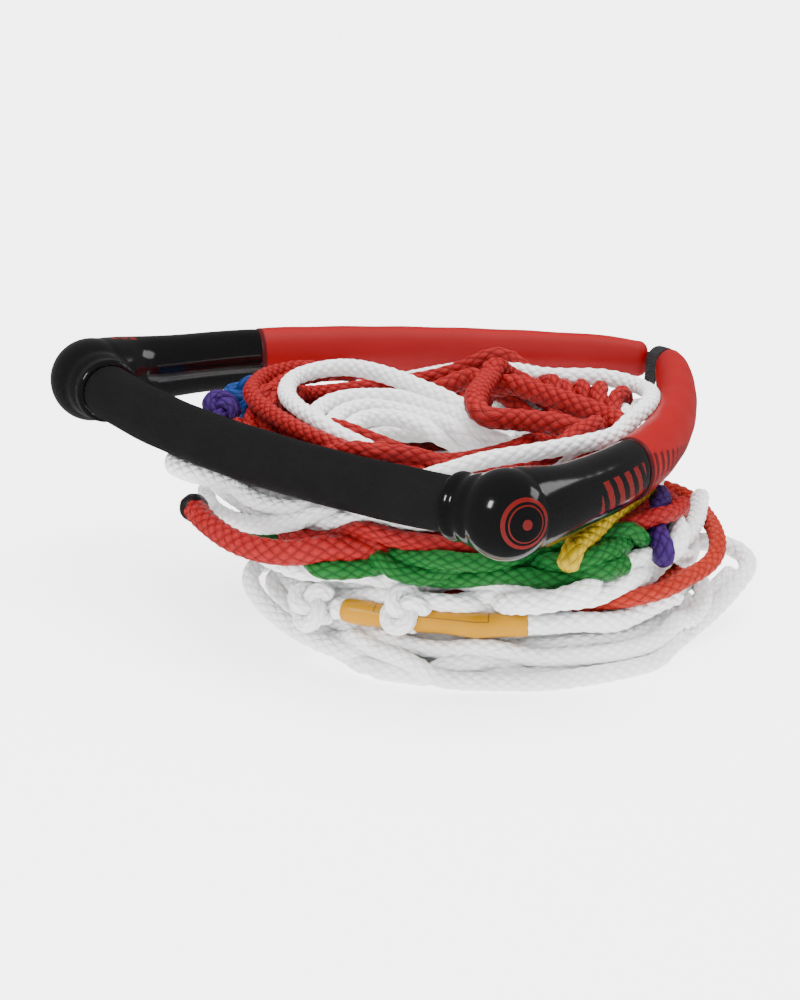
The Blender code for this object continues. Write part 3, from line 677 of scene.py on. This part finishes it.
# ---- Laying the rope out ----
RING_STEP = 0.0014
NODE_OF_COIL = {
    "rope_white_tail": "coil_white_tail",
    "rope_white_lower": "coil_white_lower",
    "rope_orange": "coil_orange",
    "rope_green": "coil_green",
    "rope_red_lower": "coil_red_lower",
    "rope_white_upper": "coil_white_upper",
    "rope_white_inner": "coil_white_inner",
    "rope_red_top": "coil_red_top",
    "red_tail_rope": "red_tail",
    "yellow_take_off": "yellow_loop",
    "violet_take_off": "violet_loop",
    "leader": "leader_rope",
    "label_line": "label_rope",
}


def knot_line(centre, tilt, size):
    """A closed-up overhand knot with two short ends."""
    t = np.linspace(0.10, 2 * math.pi - 0.10, 90)
    wide, deep = size * 0.0070, size * 0.0043
    ring = wide + deep * np.cos(3 * t)
    points = np.stack([ring * np.cos(2 * t), ring * np.sin(2 * t), deep * 1.15 * np.sin(3 * t)], 1)
    about_x, about_y, about_z = (Matrix.Rotation(math.radians(t), 3, axis) for t, axis in zip(tilt, "XYZ"))
    turned = np.array(about_z @ about_y @ about_x)
    return rounded((points @ turned.T + centre)[::3], 0.0010)


def add_ropes():
    """Every rope piece as a braided tube."""
    lines = lay_rope()
    slots = {name: slot for name, slot, _ in COIL_SECTIONS}
    slots.update({strand[0]: strand[1] for strand in LAID_STRANDS})
    radii = {strand[0]: strand[2] / 1000 for strand in LAID_STRANDS}
    radii["label_line"] = LABEL_LINE_RADIUS
    ropes = {}
    for name, line in lines.items():
        line = rounded(line, RING_STEP)
        radius = radii.get(name, ROPE_RADIUS)
        piece = braid(name, line, radius, slots[name])
        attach(piece, "rope")
        if name in NODE_OF_COIL:
            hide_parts(NODE_OF_COIL[name])
        ropes[name] = (piece, line, radius)
    return ropes


def declare_ropes(ropes):
    for name, (piece, line, radius) in ropes.items():
        2 * radius


def add_knots():
    knots = {}
    for name, slot, centre, tilt, node in KNOTS:
        size = 0.86 if slot == "violet_rope" else 0.9
        line = knot_line(from_ball_line(centre), tilt, size)
        piece = braid(name, line, KNOT_ROPE_RADIUS, slot, sides=20)
        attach(piece, "rope")
        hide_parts(node)
        knots[name] = piece
    return knots


def tube(name, centres, radii, sides):
    """A plain round or oval tube along a line with closed ends; radii holds one pair for each centre."""
    across, above = frames(centres)
    angle = np.linspace(0, 2 * math.pi, sides, endpoint=False)
    wide, tall = np.asarray(radii, float).T
    points = (
        centres[:, None]
        + np.cos(angle)[None, :, None] * across[:, None] * wide[:, None, None]
        + np.sin(angle)[None, :, None] * above[:, None] * tall[:, None, None]
    ).reshape(-1, 3)
    faces, i, j = ring_faces(len(centres), sides)
    along = along_line(centres)
    step = np.diff(along, append=along[-1])
    left, right = j * (1 / sides), (j + 1) * (1 / sides)
    low, high = along[i], along[i] + step[i]
    uvs = np.stack([left, low, right, low, right, high, left, high], -1).reshape(-1, 2)
    last = len(points) - sides
    faces = [tuple(f) for f in faces] + [tuple(range(sides - 1, -1, -1)), tuple(range(last, last + sides))]
    uvs = np.vstack([uvs, np.tile((0.0, 0.0), (2 * sides, 1))])
    return add_object(name, points, faces, uvs)


def add_attribute(obj, name, values):
    layer = obj.data.attributes.new(name, "FLOAT", "POINT")
    layer.data.foreach_set("value", np.asarray(values, np.float32))


def points_of(obj):
    points = np.empty(len(obj.data.vertices) * 3)
    obj.data.vertices.foreach_get("co", points)
    return points.reshape(-1, 3)


# ---- Finishes of the handle and the label ----
def gloss_black():
    """Moulded rubber with a wet gloss, faint flow marks and dull red printing."""
    sheet = Sheet("gloss_black_moulding")
    along, up, outer = sheet.attribute("along"), sheet.attribute("up"), sheet.attribute("outer")
    badge, top_u, top_v = sheet.attribute("badge"), sheet.attribute("top_u"), sheet.attribute("top_v")
    rings = badge.band(0.40, 0.435).most(badge.band(0.50, 0.60)).most(badge < 0.12)
    lean = (along + up * 0.42) / 0.0092
    bars = (lean.fraction() < 0.52) * along.band(0.050, 0.092) * (abs(up + 0.0005) < 0.0078) * (outer > 0.0)
    dashes = ((top_u / 0.0058).fraction() < 0.66) * top_u.band(0.0, 0.0170) * (abs(top_v) < 0.0020)
    dashes = dashes * (up > 0.012)
    print_mask = rings.most(bars).most(dashes) * (0.88 + sheet.noise(900, 2) * 0.12)
    flow, fine = sheet.noise(38, 3), sheet.noise(700, 2)
    ground = sheet.mix(flow, (0.0012, 0.0012, 0.0014), (0.0024, 0.0024, 0.0027))
    sheet.set(
        Base_Color=sheet.mix(print_mask, ground, (0.105, 0.004, 0.003)),
        Roughness=0.10 + flow * 0.03 + fine * 0.015 + print_mask * 0.15,
        Specular_IOR_Level=0.5,
        Normal=sheet.bump(flow * 0.9 + print_mask * 0.04, 0.10, 0.0006),
    )
    return sheet.material


def red_vinyl():
    """Soft red vinyl with a silky gloss and dark printed bars on its lower outer side."""
    sheet = Sheet("red_vinyl_sleeve")
    along, up, outer = sheet.attribute("along"), sheet.attribute("up"), sheet.attribute("outer")
    past = along - 0.103
    fall = past / 0.092
    bars = ((past / 0.0080).fraction() < 0.45) * fall.band(0.0, 1.0) * (outer > 0.0)
    bars = bars * (up < 0.009 - fall * 0.017)
    rim = along.band(0.0, 0.1012)
    mark = bars.most(rim)
    cloud, grain, scuff = sheet.noise(22, 3), sheet.noise(1600, 2), sheet.noise(260, 4)
    ground = sheet.mix(cloud, (0.200, 0.0004, 0.0016), (0.235, 0.0007, 0.0024))
    ground = sheet.mix((scuff - 0.62).most(0) * 0.9, ground, (0.26, 0.003, 0.006))
    sheet.set(
        Base_Color=sheet.mix(mark * 0.88, ground, (0.022, 0.004, 0.005)),
        Roughness=0.34 + grain * 0.08 + cloud * 0.06 - mark * 0.08,
        Specular_IOR_Level=0.28,
        Normal=sheet.bump(grain * 0.35 + cloud * 0.9 + mark * 0.1, 0.16, 0.0005),
    )
    return sheet.material


def foam_grip():
    """Matt closed-cell grip rubber with a fine buffed grain."""
    sheet = Sheet("grip_foam")
    cell = sheet.node("ShaderNodeTexVoronoi", {"feature": "F1"}, {"Vector": sheet.place(), "Scale": 1500.0})
    cloud, fine = sheet.noise(60, 4), sheet.noise(2300, 2)
    sheet.set(
        Base_Color=sheet.mix(cloud * 0.7 + fine * 0.3, (0.0022, 0.0022, 0.0024), (0.0048, 0.0048, 0.0050)),
        Roughness=0.72 + fine * 0.15,
        Specular_IOR_Level=0.28,
        Normal=sheet.bump(cell * 0.8 + fine * 0.5 + cloud * 0.7, 0.45, 0.0004),
    )
    return sheet.material


def label_vinyl():
    """Heat-shrunk yellow vinyl with a thin printed frame, wrinkled a little along the rope."""
    sheet = Sheet("label_vinyl_sleeve")
    around, along, _ = sheet.parts(sheet.node("ShaderNodeUVMap", {"uv_map": "braid"}))
    height = (around - 0.29) * 0.0415
    in_x, in_y = along.band(0.018, 0.074), abs(height) < 0.0047
    out_x, out_y = along.band(0.0173, 0.0747), abs(height) < 0.0053
    frame_line = (out_x * out_y) * (1 - in_x * in_y)
    rule = (abs(height + 0.0010) < 0.00035) * along.band(0.030, 0.066)
    line = frame_line.most(rule)
    cloud, fine = sheet.noise(70, 3), sheet.noise(900, 2)
    ground = sheet.mix(cloud, (0.38, 0.165, 0.0001), (0.45, 0.205, 0.0002))
    sheet.set(
        Base_Color=sheet.mix(line * 0.8, ground, (0.10, 0.05, 0.01)),
        Roughness=0.28 + fine * 0.08,
        Specular_IOR_Level=0.2,
        Coat_Weight=0.12,
        Coat_Roughness=0.15,
        Normal=sheet.bump(cloud + fine * 0.1, 0.35, 0.0008),
    )
    return sheet.material


def webbing():
    """Woven strap: ribs across, fine threads along."""
    sheet = Sheet("black_webbing_weave")
    x, y, z = sheet.parts(sheet.place())
    rib = ((y + z) * 3600).sine()
    thread = (x * 9000).sine()
    fine = sheet.noise(1500, 2)
    weave = rib * 0.5 + thread * 0.3
    sheet.set(
        Base_Color=sheet.mix(0.5 + weave * 0.4, (0.006, 0.006, 0.007), (0.022, 0.022, 0.024)),
        Roughness=0.6 + fine * 0.2,
        Normal=sheet.bump(weave + fine * 0.4, 0.5, 0.0004),
    )
    return sheet.material


def plain_finish(name, low, high, roughness, metallic, grain, depth):
    """A finish with cloudy colour and a grain, for parts inside the handle."""
    sheet = Sheet(name)
    cloud, fine = sheet.noise(grain / 8, 3), sheet.noise(grain, 3)
    sheet.set(
        Base_Color=sheet.mix(cloud, low, high),
        Metallic=metallic,
        Roughness=roughness + fine * 0.15,
        Normal=sheet.bump(fine, depth, 0.0004),
    )
    return sheet.material


FINISHES.update(
    gloss_black=gloss_black(),
    red_vinyl=red_vinyl(),
    grip_rubber=foam_grip(),
    label_vinyl=label_vinyl(),
    webbing=webbing(),
    alloy=plain_finish("brushed_alloy", (0.50, 0.51, 0.52), (0.62, 0.63, 0.64), 0.28, 1.0, 900.0, 0.1),
    plug_foam=plain_finish("plug_foam", (0.05, 0.05, 0.055), (0.09, 0.09, 0.10), 0.8, 0.0, 1200.0, 0.5),
    float_foam=plain_finish("float_foam", (0.66, 0.64, 0.58), (0.78, 0.76, 0.70), 0.8, 0.0, 1000.0, 0.5),
    melted=plain_finish(
        "melted_rope_end", (0.002, 0.002, 0.002), (0.010, 0.006, 0.006), 0.35, 0.0, 700.0, 0.6
    ),
)


# ---- Handle ----
# Station on the arm, how far the section stands to the outer and to the inner side, and its half height.
MOULDING_SECTIONS = (
    (0.0, 0.0212, 0.0212, 0.0212), (0.010, 0.0206, 0.0200, 0.0210), (0.018, 0.0194, 0.0172, 0.0202),
    (0.026, 0.0180, 0.0136, 0.0190), (0.034, 0.0167, 0.0121, 0.0180), (0.042, 0.0155, 0.0126, 0.0173),
    (0.050, 0.0146, 0.0133, 0.0168), (0.060, 0.0138, 0.0133, 0.0164), (0.078, 0.0130, 0.0127, 0.0161),
    (0.0984, 0.0121, 0.0121, 0.0157), (0.1002, 0.0119, 0.0119, 0.0154),
)
COLLAR_WIDTHS = (
    (0.0, 0.0192), (0.010, 0.0186), (0.017, 0.0174), (0.0200, 0.0163), (0.0212, 0.0159), (0.0224, 0.0163),
    (0.0240, 0.0170), (0.0270, 0.0170), (0.0286, 0.0160),
)
SLEEVE_WIDTHS = ((0.0, 0.0119), (0.24, 0.0110), (0.48, 0.0102), (0.69, 0.0095), (0.90, 0.0086), (1.0, 0.0062))
SLEEVE_PROUD = 0.0010
SLEEVE_SIDES = 64
BADGE_FACING = (0.967, -0.25, 0.03)  # from the ball's centre to the middle of its printed rings


def deselect():
    if bpy.context.mode != "OBJECT":
        bpy.ops.object.mode_set(mode="OBJECT")
    bpy.ops.object.select_all(action="DESELECT")


def turn_selected(angle, centre):
    """Turns what is selected about the vertical; with no window the operator turns the other way."""
    bpy.ops.transform.rotate(value=-angle, orient_axis="Z", center_override=tuple(centre))


def drawn_out(name, stations, vertices):
    """A bar pulled out of a disc through stations: centre, heading angle, half width and half height."""
    deselect()
    centre, heading, wide, tall = stations[0]
    facing = (math.pi / 2, 0, heading + math.pi / 2)
    bpy.ops.mesh.primitive_circle_add(
        vertices=vertices, radius=1, fill_type="NGON", location=centre, rotation=facing
    )
    made = bpy.context.object
    made.name = made.data.name = name
    bpy.ops.object.transform_apply(location=True, rotation=True, scale=True)
    bpy.ops.object.mode_set(mode="EDIT")
    bpy.ops.mesh.select_all(action="SELECT")
    bpy.ops.transform.resize(value=(wide, wide, tall), center_override=tuple(centre))
    for before, after in zip(stations, stations[1:]):
        step = np.subtract(after[0], before[0])
        bpy.ops.mesh.extrude_region_move(TRANSFORM_OT_translate={"value": tuple(step)})
        if abs(after[1] - before[1]) > 1e-6:
            turn_selected(after[1] - before[1], after[0])
        grow, rise = after[2] / before[2], after[3] / before[3]
        bpy.ops.transform.resize(value=(grow, grow, rise), center_override=tuple(after[0]))
    bpy.ops.mesh.select_all(action="SELECT")
    bpy.ops.mesh.normals_make_consistent(inside=False)
    bpy.ops.object.mode_set(mode="OBJECT")
    return made


def finish_with(obj, kind, **settings):
    """Adds a modifier and applies it."""
    deselect()
    obj.select_set(True)
    bpy.context.view_layer.objects.active = obj
    bpy.ops.object.modifier_add(type=kind)
    modifier = obj.modifiers[-1]
    for key, value in settings.items():
        setattr(modifier, key, value)
    bpy.ops.object.modifier_apply(modifier=modifier.name)


def heading_between(a, b):
    return math.atan2(b[1] - a[1], b[0] - a[0])


def arm_stations(side):
    table = np.array(MOULDING_SECTIONS).T
    made = []
    for s in np.concatenate([np.linspace(0, 0.06, 25), np.linspace(0.065, 0.1002, 9)]):
        outer, inner, tall = (np.interp(s, table[0], row) for row in table[1:])
        heading = heading_between(arm_point(max(0, s - 0.002), side), arm_point(s + 0.002, side))
        aside = np.array((math.sin(heading), -math.cos(heading), 0)) * side * (outer - inner) / 2
        made.append((arm_point(s, side) + aside, heading, (outer + inner) / 2, tall))
    return made


def collar_stations(side):
    made = []
    for reach, radius in COLLAR_WIDTHS:
        here = bar_point(side * (BALL_ALONG - reach))
        ahead = bar_point(side * (BALL_ALONG - reach - 0.001))
        made.append((here, heading_between(here, ahead), radius, radius))
    return made


def add_arm_attributes(piece, line, along, at, side):
    """For the printed marks: each point's place along the arm, its height and how far it faces outward."""
    points = points_of(piece)
    heading = np.gradient(line, axis=0)[at]
    heading /= np.linalg.norm(heading, axis=1)[:, None]
    outward = np.stack([heading[:, 1], -heading[:, 0]], 1) * side
    away = points - line[at]
    reach = np.linalg.norm(away, axis=1) + 1e-9
    add_attribute(piece, "along", along[at])
    add_attribute(piece, "up", points[:, 2] - HANDLE_LEVEL)
    add_attribute(piece, "outer", (away[:, :2] * outward).sum(1) / reach)


def add_moulding(word, side):
    """The ball end, the collar over the grip and the boot, in one moulding."""
    arm = drawn_out(f"moulding_{word}", arm_stations(side), 48)
    collar = drawn_out(f"collar_{word}", collar_stations(side), 48)
    deselect()
    centre = arm_point(0, side)
    bpy.ops.mesh.primitive_uv_sphere_add(
        segments=56, ring_count=40, radius=BALL_RADIUS, location=centre
    )
    ball = bpy.context.object
    bpy.ops.object.transform_apply(location=True, rotation=True, scale=True)
    deselect()
    for piece in (arm, collar, ball):
        piece.select_set(True)
    bpy.context.view_layer.objects.active = arm
    bpy.ops.object.join()
    finish_with(arm, "REMESH", mode="VOXEL", voxel_size=0.0010)
    finish_with(arm, "SMOOTH", factor=0.5, iterations=5)
    points = points_of(arm)
    stations = np.linspace(0, BOOT_END + 0.01, 160)
    line = np.array([arm_point(s, side) for s in stations])
    nearest = np.linalg.norm(points[:, None, :2] - line[None, :, :2], axis=2).argmin(1)
    add_arm_attributes(arm, line, stations, nearest, side)
    badge = np.array((BADGE_FACING[0] * side, *BADGE_FACING[1:]))
    badge /= np.linalg.norm(badge)
    from_ball = points - centre
    reach = np.linalg.norm(from_ball, axis=1)
    angle = np.arccos(np.clip(from_ball @ badge / (reach + 1e-9), -1, 1))
    add_attribute(arm, "badge", np.where(reach < BALL_RADIUS * 1.12, angle, 9.0))
    axis = np.array((side * -0.08, 1.0))
    axis /= np.linalg.norm(axis)
    add_attribute(arm, "top_u", from_ball[:, :2] @ axis - 0.012)
    add_attribute(arm, "top_v", from_ball[:, :2] @ np.array((axis[1], -axis[0])) * side)
    arm.data.materials.clear()
    arm.data.materials.append(FINISHES["gloss_black"])
    arm.data.shade_smooth()
    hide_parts(f"end_cap_{word}", f"boot_{word}")
    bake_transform(arm)


def eased(distance, reach, low):
    """From low at an end up to 1 a reach away, along a quarter circle."""
    share = np.clip(distance / reach, 0, 1)
    return np.sqrt(np.clip(1 - (1 - share) ** 2, 0.0, 1)) * (1 - low) + low


def add_sleeve(word, side):
    """The red sleeve over the arm's foam float, full in the middle and drawn in at its two ends."""
    first, last = [0, 0.0008, 0.003, 0.007], [0.98, 0.988, 0.994, 0.998, 1]
    share = np.concatenate([first, np.linspace(0.012, 0.97, 190), last])
    along = SLEEVE_START + share * (SLEEVE_END - SLEEVE_START)
    centres = np.array([arm_point(s, side) for s in along])
    stations, widths = np.array(SLEEVE_WIDTHS).T
    wide = np.interp(share, stations, widths) + SLEEVE_PROUD
    wide = np.convolve(np.pad(wide, 6, mode="edge"), np.ones(13) / 13, "valid")
    lip, tip = eased(along - along[0], 0.0010, 0.93), eased(along[-1] - along, 0.0045, 0.38)
    wide = wide * lip * tip * (1 + 0.008 * np.sin(along * 190 + side))
    piece = tube(f"sleeve_{word}", centres, np.stack([wide, wide * ARM_OVAL * 1.02], 1), SLEEVE_SIDES)
    ring = np.repeat(np.arange(len(along)), SLEEVE_SIDES)
    add_arm_attributes(piece, centres, along, ring, side)
    piece.data.materials.append(FINISHES["red_vinyl"])
    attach(piece, "bridle")
    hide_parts(f"arm_sleeve_{word}")


def add_grip():
    """The foam grip on the bar, with soft worn waves along it."""
    reach = BALL_ALONG - GRIP_END_INSET
    along = np.linspace(-reach, reach, 330)
    centres = np.array([bar_point(s) for s in along])
    radius = GRIP_RADIUS - 0.0001 + 0.0001 * np.sin(along * 130) + 0.00008 * np.sin(along * 61 + 1)
    piece = tube("foam_grip", centres, np.stack([radius, radius], 1), 72)
    piece.data.materials.append(FINISHES["grip_rubber"])
    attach(piece, "bar")
    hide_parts("grip")


BRIDLE_LINE_RADIUS = 0.0038
STRAP_DROP = (0, -0.004, -0.024)  # from the bridle line down to the strap's lower fold
STRAP_FOLD = 0.0071  # radius of the two folds
STRAP_LEAN = 0.16
STRAP_HALF_WIDTH, STRAP_HALF_DEPTH = 0.0040, 0.0010
EYE_RADIUS = 0.0034


def add_bridle():
    """The black line through both arms, seen where it crosses the apex through the strap."""
    half = [arm_point(s, 1) for s in np.linspace(NECK_ALONG + 0.006, ARM_LENGTH - 0.016, 24)]
    half += [on_handle(0.0095, HINGE_REACH - 0.0014), on_handle(0.0052, HINGE_REACH)]
    whole = np.array(half + [p * (-1, 1, 1) for p in half[::-1]])
    piece = braid("bridle_line", rounded(whole, 0.0016), BRIDLE_LINE_RADIUS, "black_webbing", sides=16)
    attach(piece, "bridle")
    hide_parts("bridle_rope")


def add_strap():
    """The webbing loop at the apex, folded flat round the bridle line and the leader's eye."""
    top = on_handle(0, HINGE_REACH)
    outline = []
    for fold, start in ((top, 0), (top + np.array(STRAP_DROP), math.pi)):
        for k in np.linspace(start, start + math.pi, 17) + STRAP_LEAN:
            outline.append(fold + STRAP_FOLD * np.array((0, math.cos(k), math.sin(k))))
    line = resampled(np.array(outline + outline[:1]), 0.0009)[:-1]
    heading = np.roll(line, -1, 0) - np.roll(line, 1, 0)
    heading /= np.linalg.norm(heading, axis=1)[:, None]
    out = np.cross(heading, (1, 0, 0))
    section = []
    for k in np.linspace(0, 2 * math.pi, 28, endpoint=False):
        c, s = math.cos(k), math.sin(k)
        wide = STRAP_HALF_WIDTH * np.sign(c) * abs(c) ** 0.35
        section.append((wide, STRAP_HALF_DEPTH * np.sign(s) * abs(s) ** 0.6))
    section = np.array(section)
    aside, outward = section[None, :, :1] * np.array((1.0, 0, 0)), section[None, :, 1:] * out[:, None]
    points = line[:, None] + aside + outward
    faces, _, _ = ring_faces(len(line), len(section), True)
    piece = add_object("webbing_loop", points.reshape(-1, 3), [tuple(f) for f in faces])
    piece.data.materials.append(FINISHES["webbing"])
    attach(piece, "rope")
    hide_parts("apex_strap")


def add_leader_eye():
    """The leader's eye round the strap."""
    low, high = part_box("leader_loop")
    centre = np.array(((low.x + high.x) / 2, (low.y + high.y) / 2, (low.z + high.z) / 2))
    ring = (high.x - low.x) / 2 - EYE_RADIUS - 0.0001
    angle = np.linspace(0, 2 * math.pi, 49)
    line = centre + np.stack([np.cos(angle), np.sin(angle), np.zeros_like(angle)], 1) * ring
    line = resampled(line, 0.0013)[:-1]
    piece = braid("leader_eye", line, EYE_RADIUS, "white_rope", sides=16, closed_line=True)
    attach(piece, "rope")
    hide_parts("leader_loop")


def add_label_sleeve(line):
    """The yellow sleeve shrunk over its rope."""
    millimetres = line[:, 0] * 1000
    covered = (millimetres > 70) & (millimetres < 146) & (line[:, 1] < 0.045 + BALL_LINE_Y)
    part = line[covered]
    along = along_line(part)
    ends = np.minimum(along, along[-1] - along)
    radius = 0.0064 + 0.00025 * np.sin(along * 210) - 0.0007 * np.exp(-ends / 0.003)
    radius[[0, -1]] = 0.0054
    piece = tube("label_tube", part, np.stack([radius, radius * 0.94], 1), 48)
    piece.data.materials.append(FINISHES["label_vinyl"])
    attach(piece, "rope")
    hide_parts("label_sleeve")
    return piece


def add_fused_end(place):
    """The melted end of the red tail."""
    deselect()
    bpy.ops.mesh.primitive_ico_sphere_add(subdivisions=5, radius=0.0073, location=tuple(place))
    lump = bpy.context.object
    lump.name = lump.data.name = "melted_end"
    bpy.ops.object.transform_apply(location=True, rotation=True, scale=True)
    bpy.ops.object.mode_set(mode="EDIT")
    bpy.ops.mesh.select_all(action="SELECT")
    bpy.ops.transform.vertex_random(offset=0.0016, seed=7)
    bpy.ops.mesh.vertices_smooth(factor=0.5, repeat=5)
    bpy.ops.transform.vertex_random(offset=0.0003, seed=11)
    bpy.ops.object.mode_set(mode="OBJECT")
    lump.data.shade_smooth()
    lump.data.materials.append(FINISHES["melted"])
    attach(lump, "rope")
    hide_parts("fused_end")
    return lump


INNER_FINISH = {
    "bar_tube": "alloy",
    "end_plug_left": "plug_foam",
    "end_plug_right": "plug_foam",
    "float_core_left": "float_foam",
    "float_core_right": "float_foam",
    "stopper_knot_left": "melted",
    "stopper_knot_right": "melted",
}


def finish_inner_parts():
    for name, finish in INNER_FINISH.items():
        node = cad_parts[name]
        for slot in node.material_slots:
            slot.material = FINISHES[finish]
        if not node.material_slots:
            node.data.materials.append(FINISHES[finish])


ropes = add_ropes()
knots = add_knots()
label_tube = add_label_sleeve(ropes["label_line"][1])
melted_end = add_fused_end(ropes["red_tail_rope"][1][0])
declare_ropes(
    ropes,
)
for word, side in SIDES.items():
    add_moulding(word, side)
    add_sleeve(word, side)
add_grip()
add_bridle()
add_strap()
add_leader_eye()
finish_inner_parts()


# ---- Floor and light ----
def add_floor():
    deselect()
    bpy.ops.mesh.primitive_plane_add(size=14, location=(0, 0, 0))
    floor = bpy.context.object
    floor.name = floor.data.name = "floor"
    sheet = Sheet("pale_floor")
    sheet.set(
        Base_Color=(0.94, 0.94, 0.94, 1),
        Roughness=0.6 + sheet.noise(3, 2) * 0.1,
        Emission_Color=(1, 1, 1, 1),
        Emission_Strength=2.2,
    )
    floor.data.materials.append(sheet.material)
    floor.visible_glossy = False


def add_light(name, place, aim, width, height, power):
    data = bpy.data.lights.new(name, "AREA")
    data.shape = "RECTANGLE"
    data.size, data.size_y, data.energy = width, height, power
    light = bpy.data.objects.new(name, data)
    light.location = place
    light.rotation_euler = (Vector(aim) - Vector(place)).to_track_quat("-Z", "Y").to_euler()
    bpy.context.scene.collection.objects.link(light)


def add_sky_light(name, source, power):
    """A very wide soft light from one direction, even over the whole floor."""
    data = bpy.data.lights.new(name, "SUN")
    data.energy, data.angle = power, math.radians(75)
    light = bpy.data.objects.new(name, data)
    light.rotation_euler = (-Vector(source)).to_track_quat("-Z", "Y").to_euler()
    light.visible_glossy = False
    bpy.context.scene.collection.objects.link(light)


def add_world():
    world = bpy.data.worlds.new("studio")
    world.use_nodes = True
    background = world.node_tree.nodes["Background"]
    background.inputs["Color"].default_value = (1, 1, 1, 1)
    background.inputs["Strength"].default_value = 0.22
    bpy.context.scene.world = world


add_floor()
add_world()
add_sky_light("overhead", (-0.15, 0.25, 1.0), 8.5)
add_sky_light("front_fill", (0.75, -0.75, 0.55), 2.6)
add_light("front_window", (0.15, -1.4, 1.0), (0.1, -0.1, 0.07), 0.24, 0.42, 9)
add_light("back_wash", (0.8, 1.5, 1.2), (0.1, 0, 0.08), 0.9, 0.6, 6)
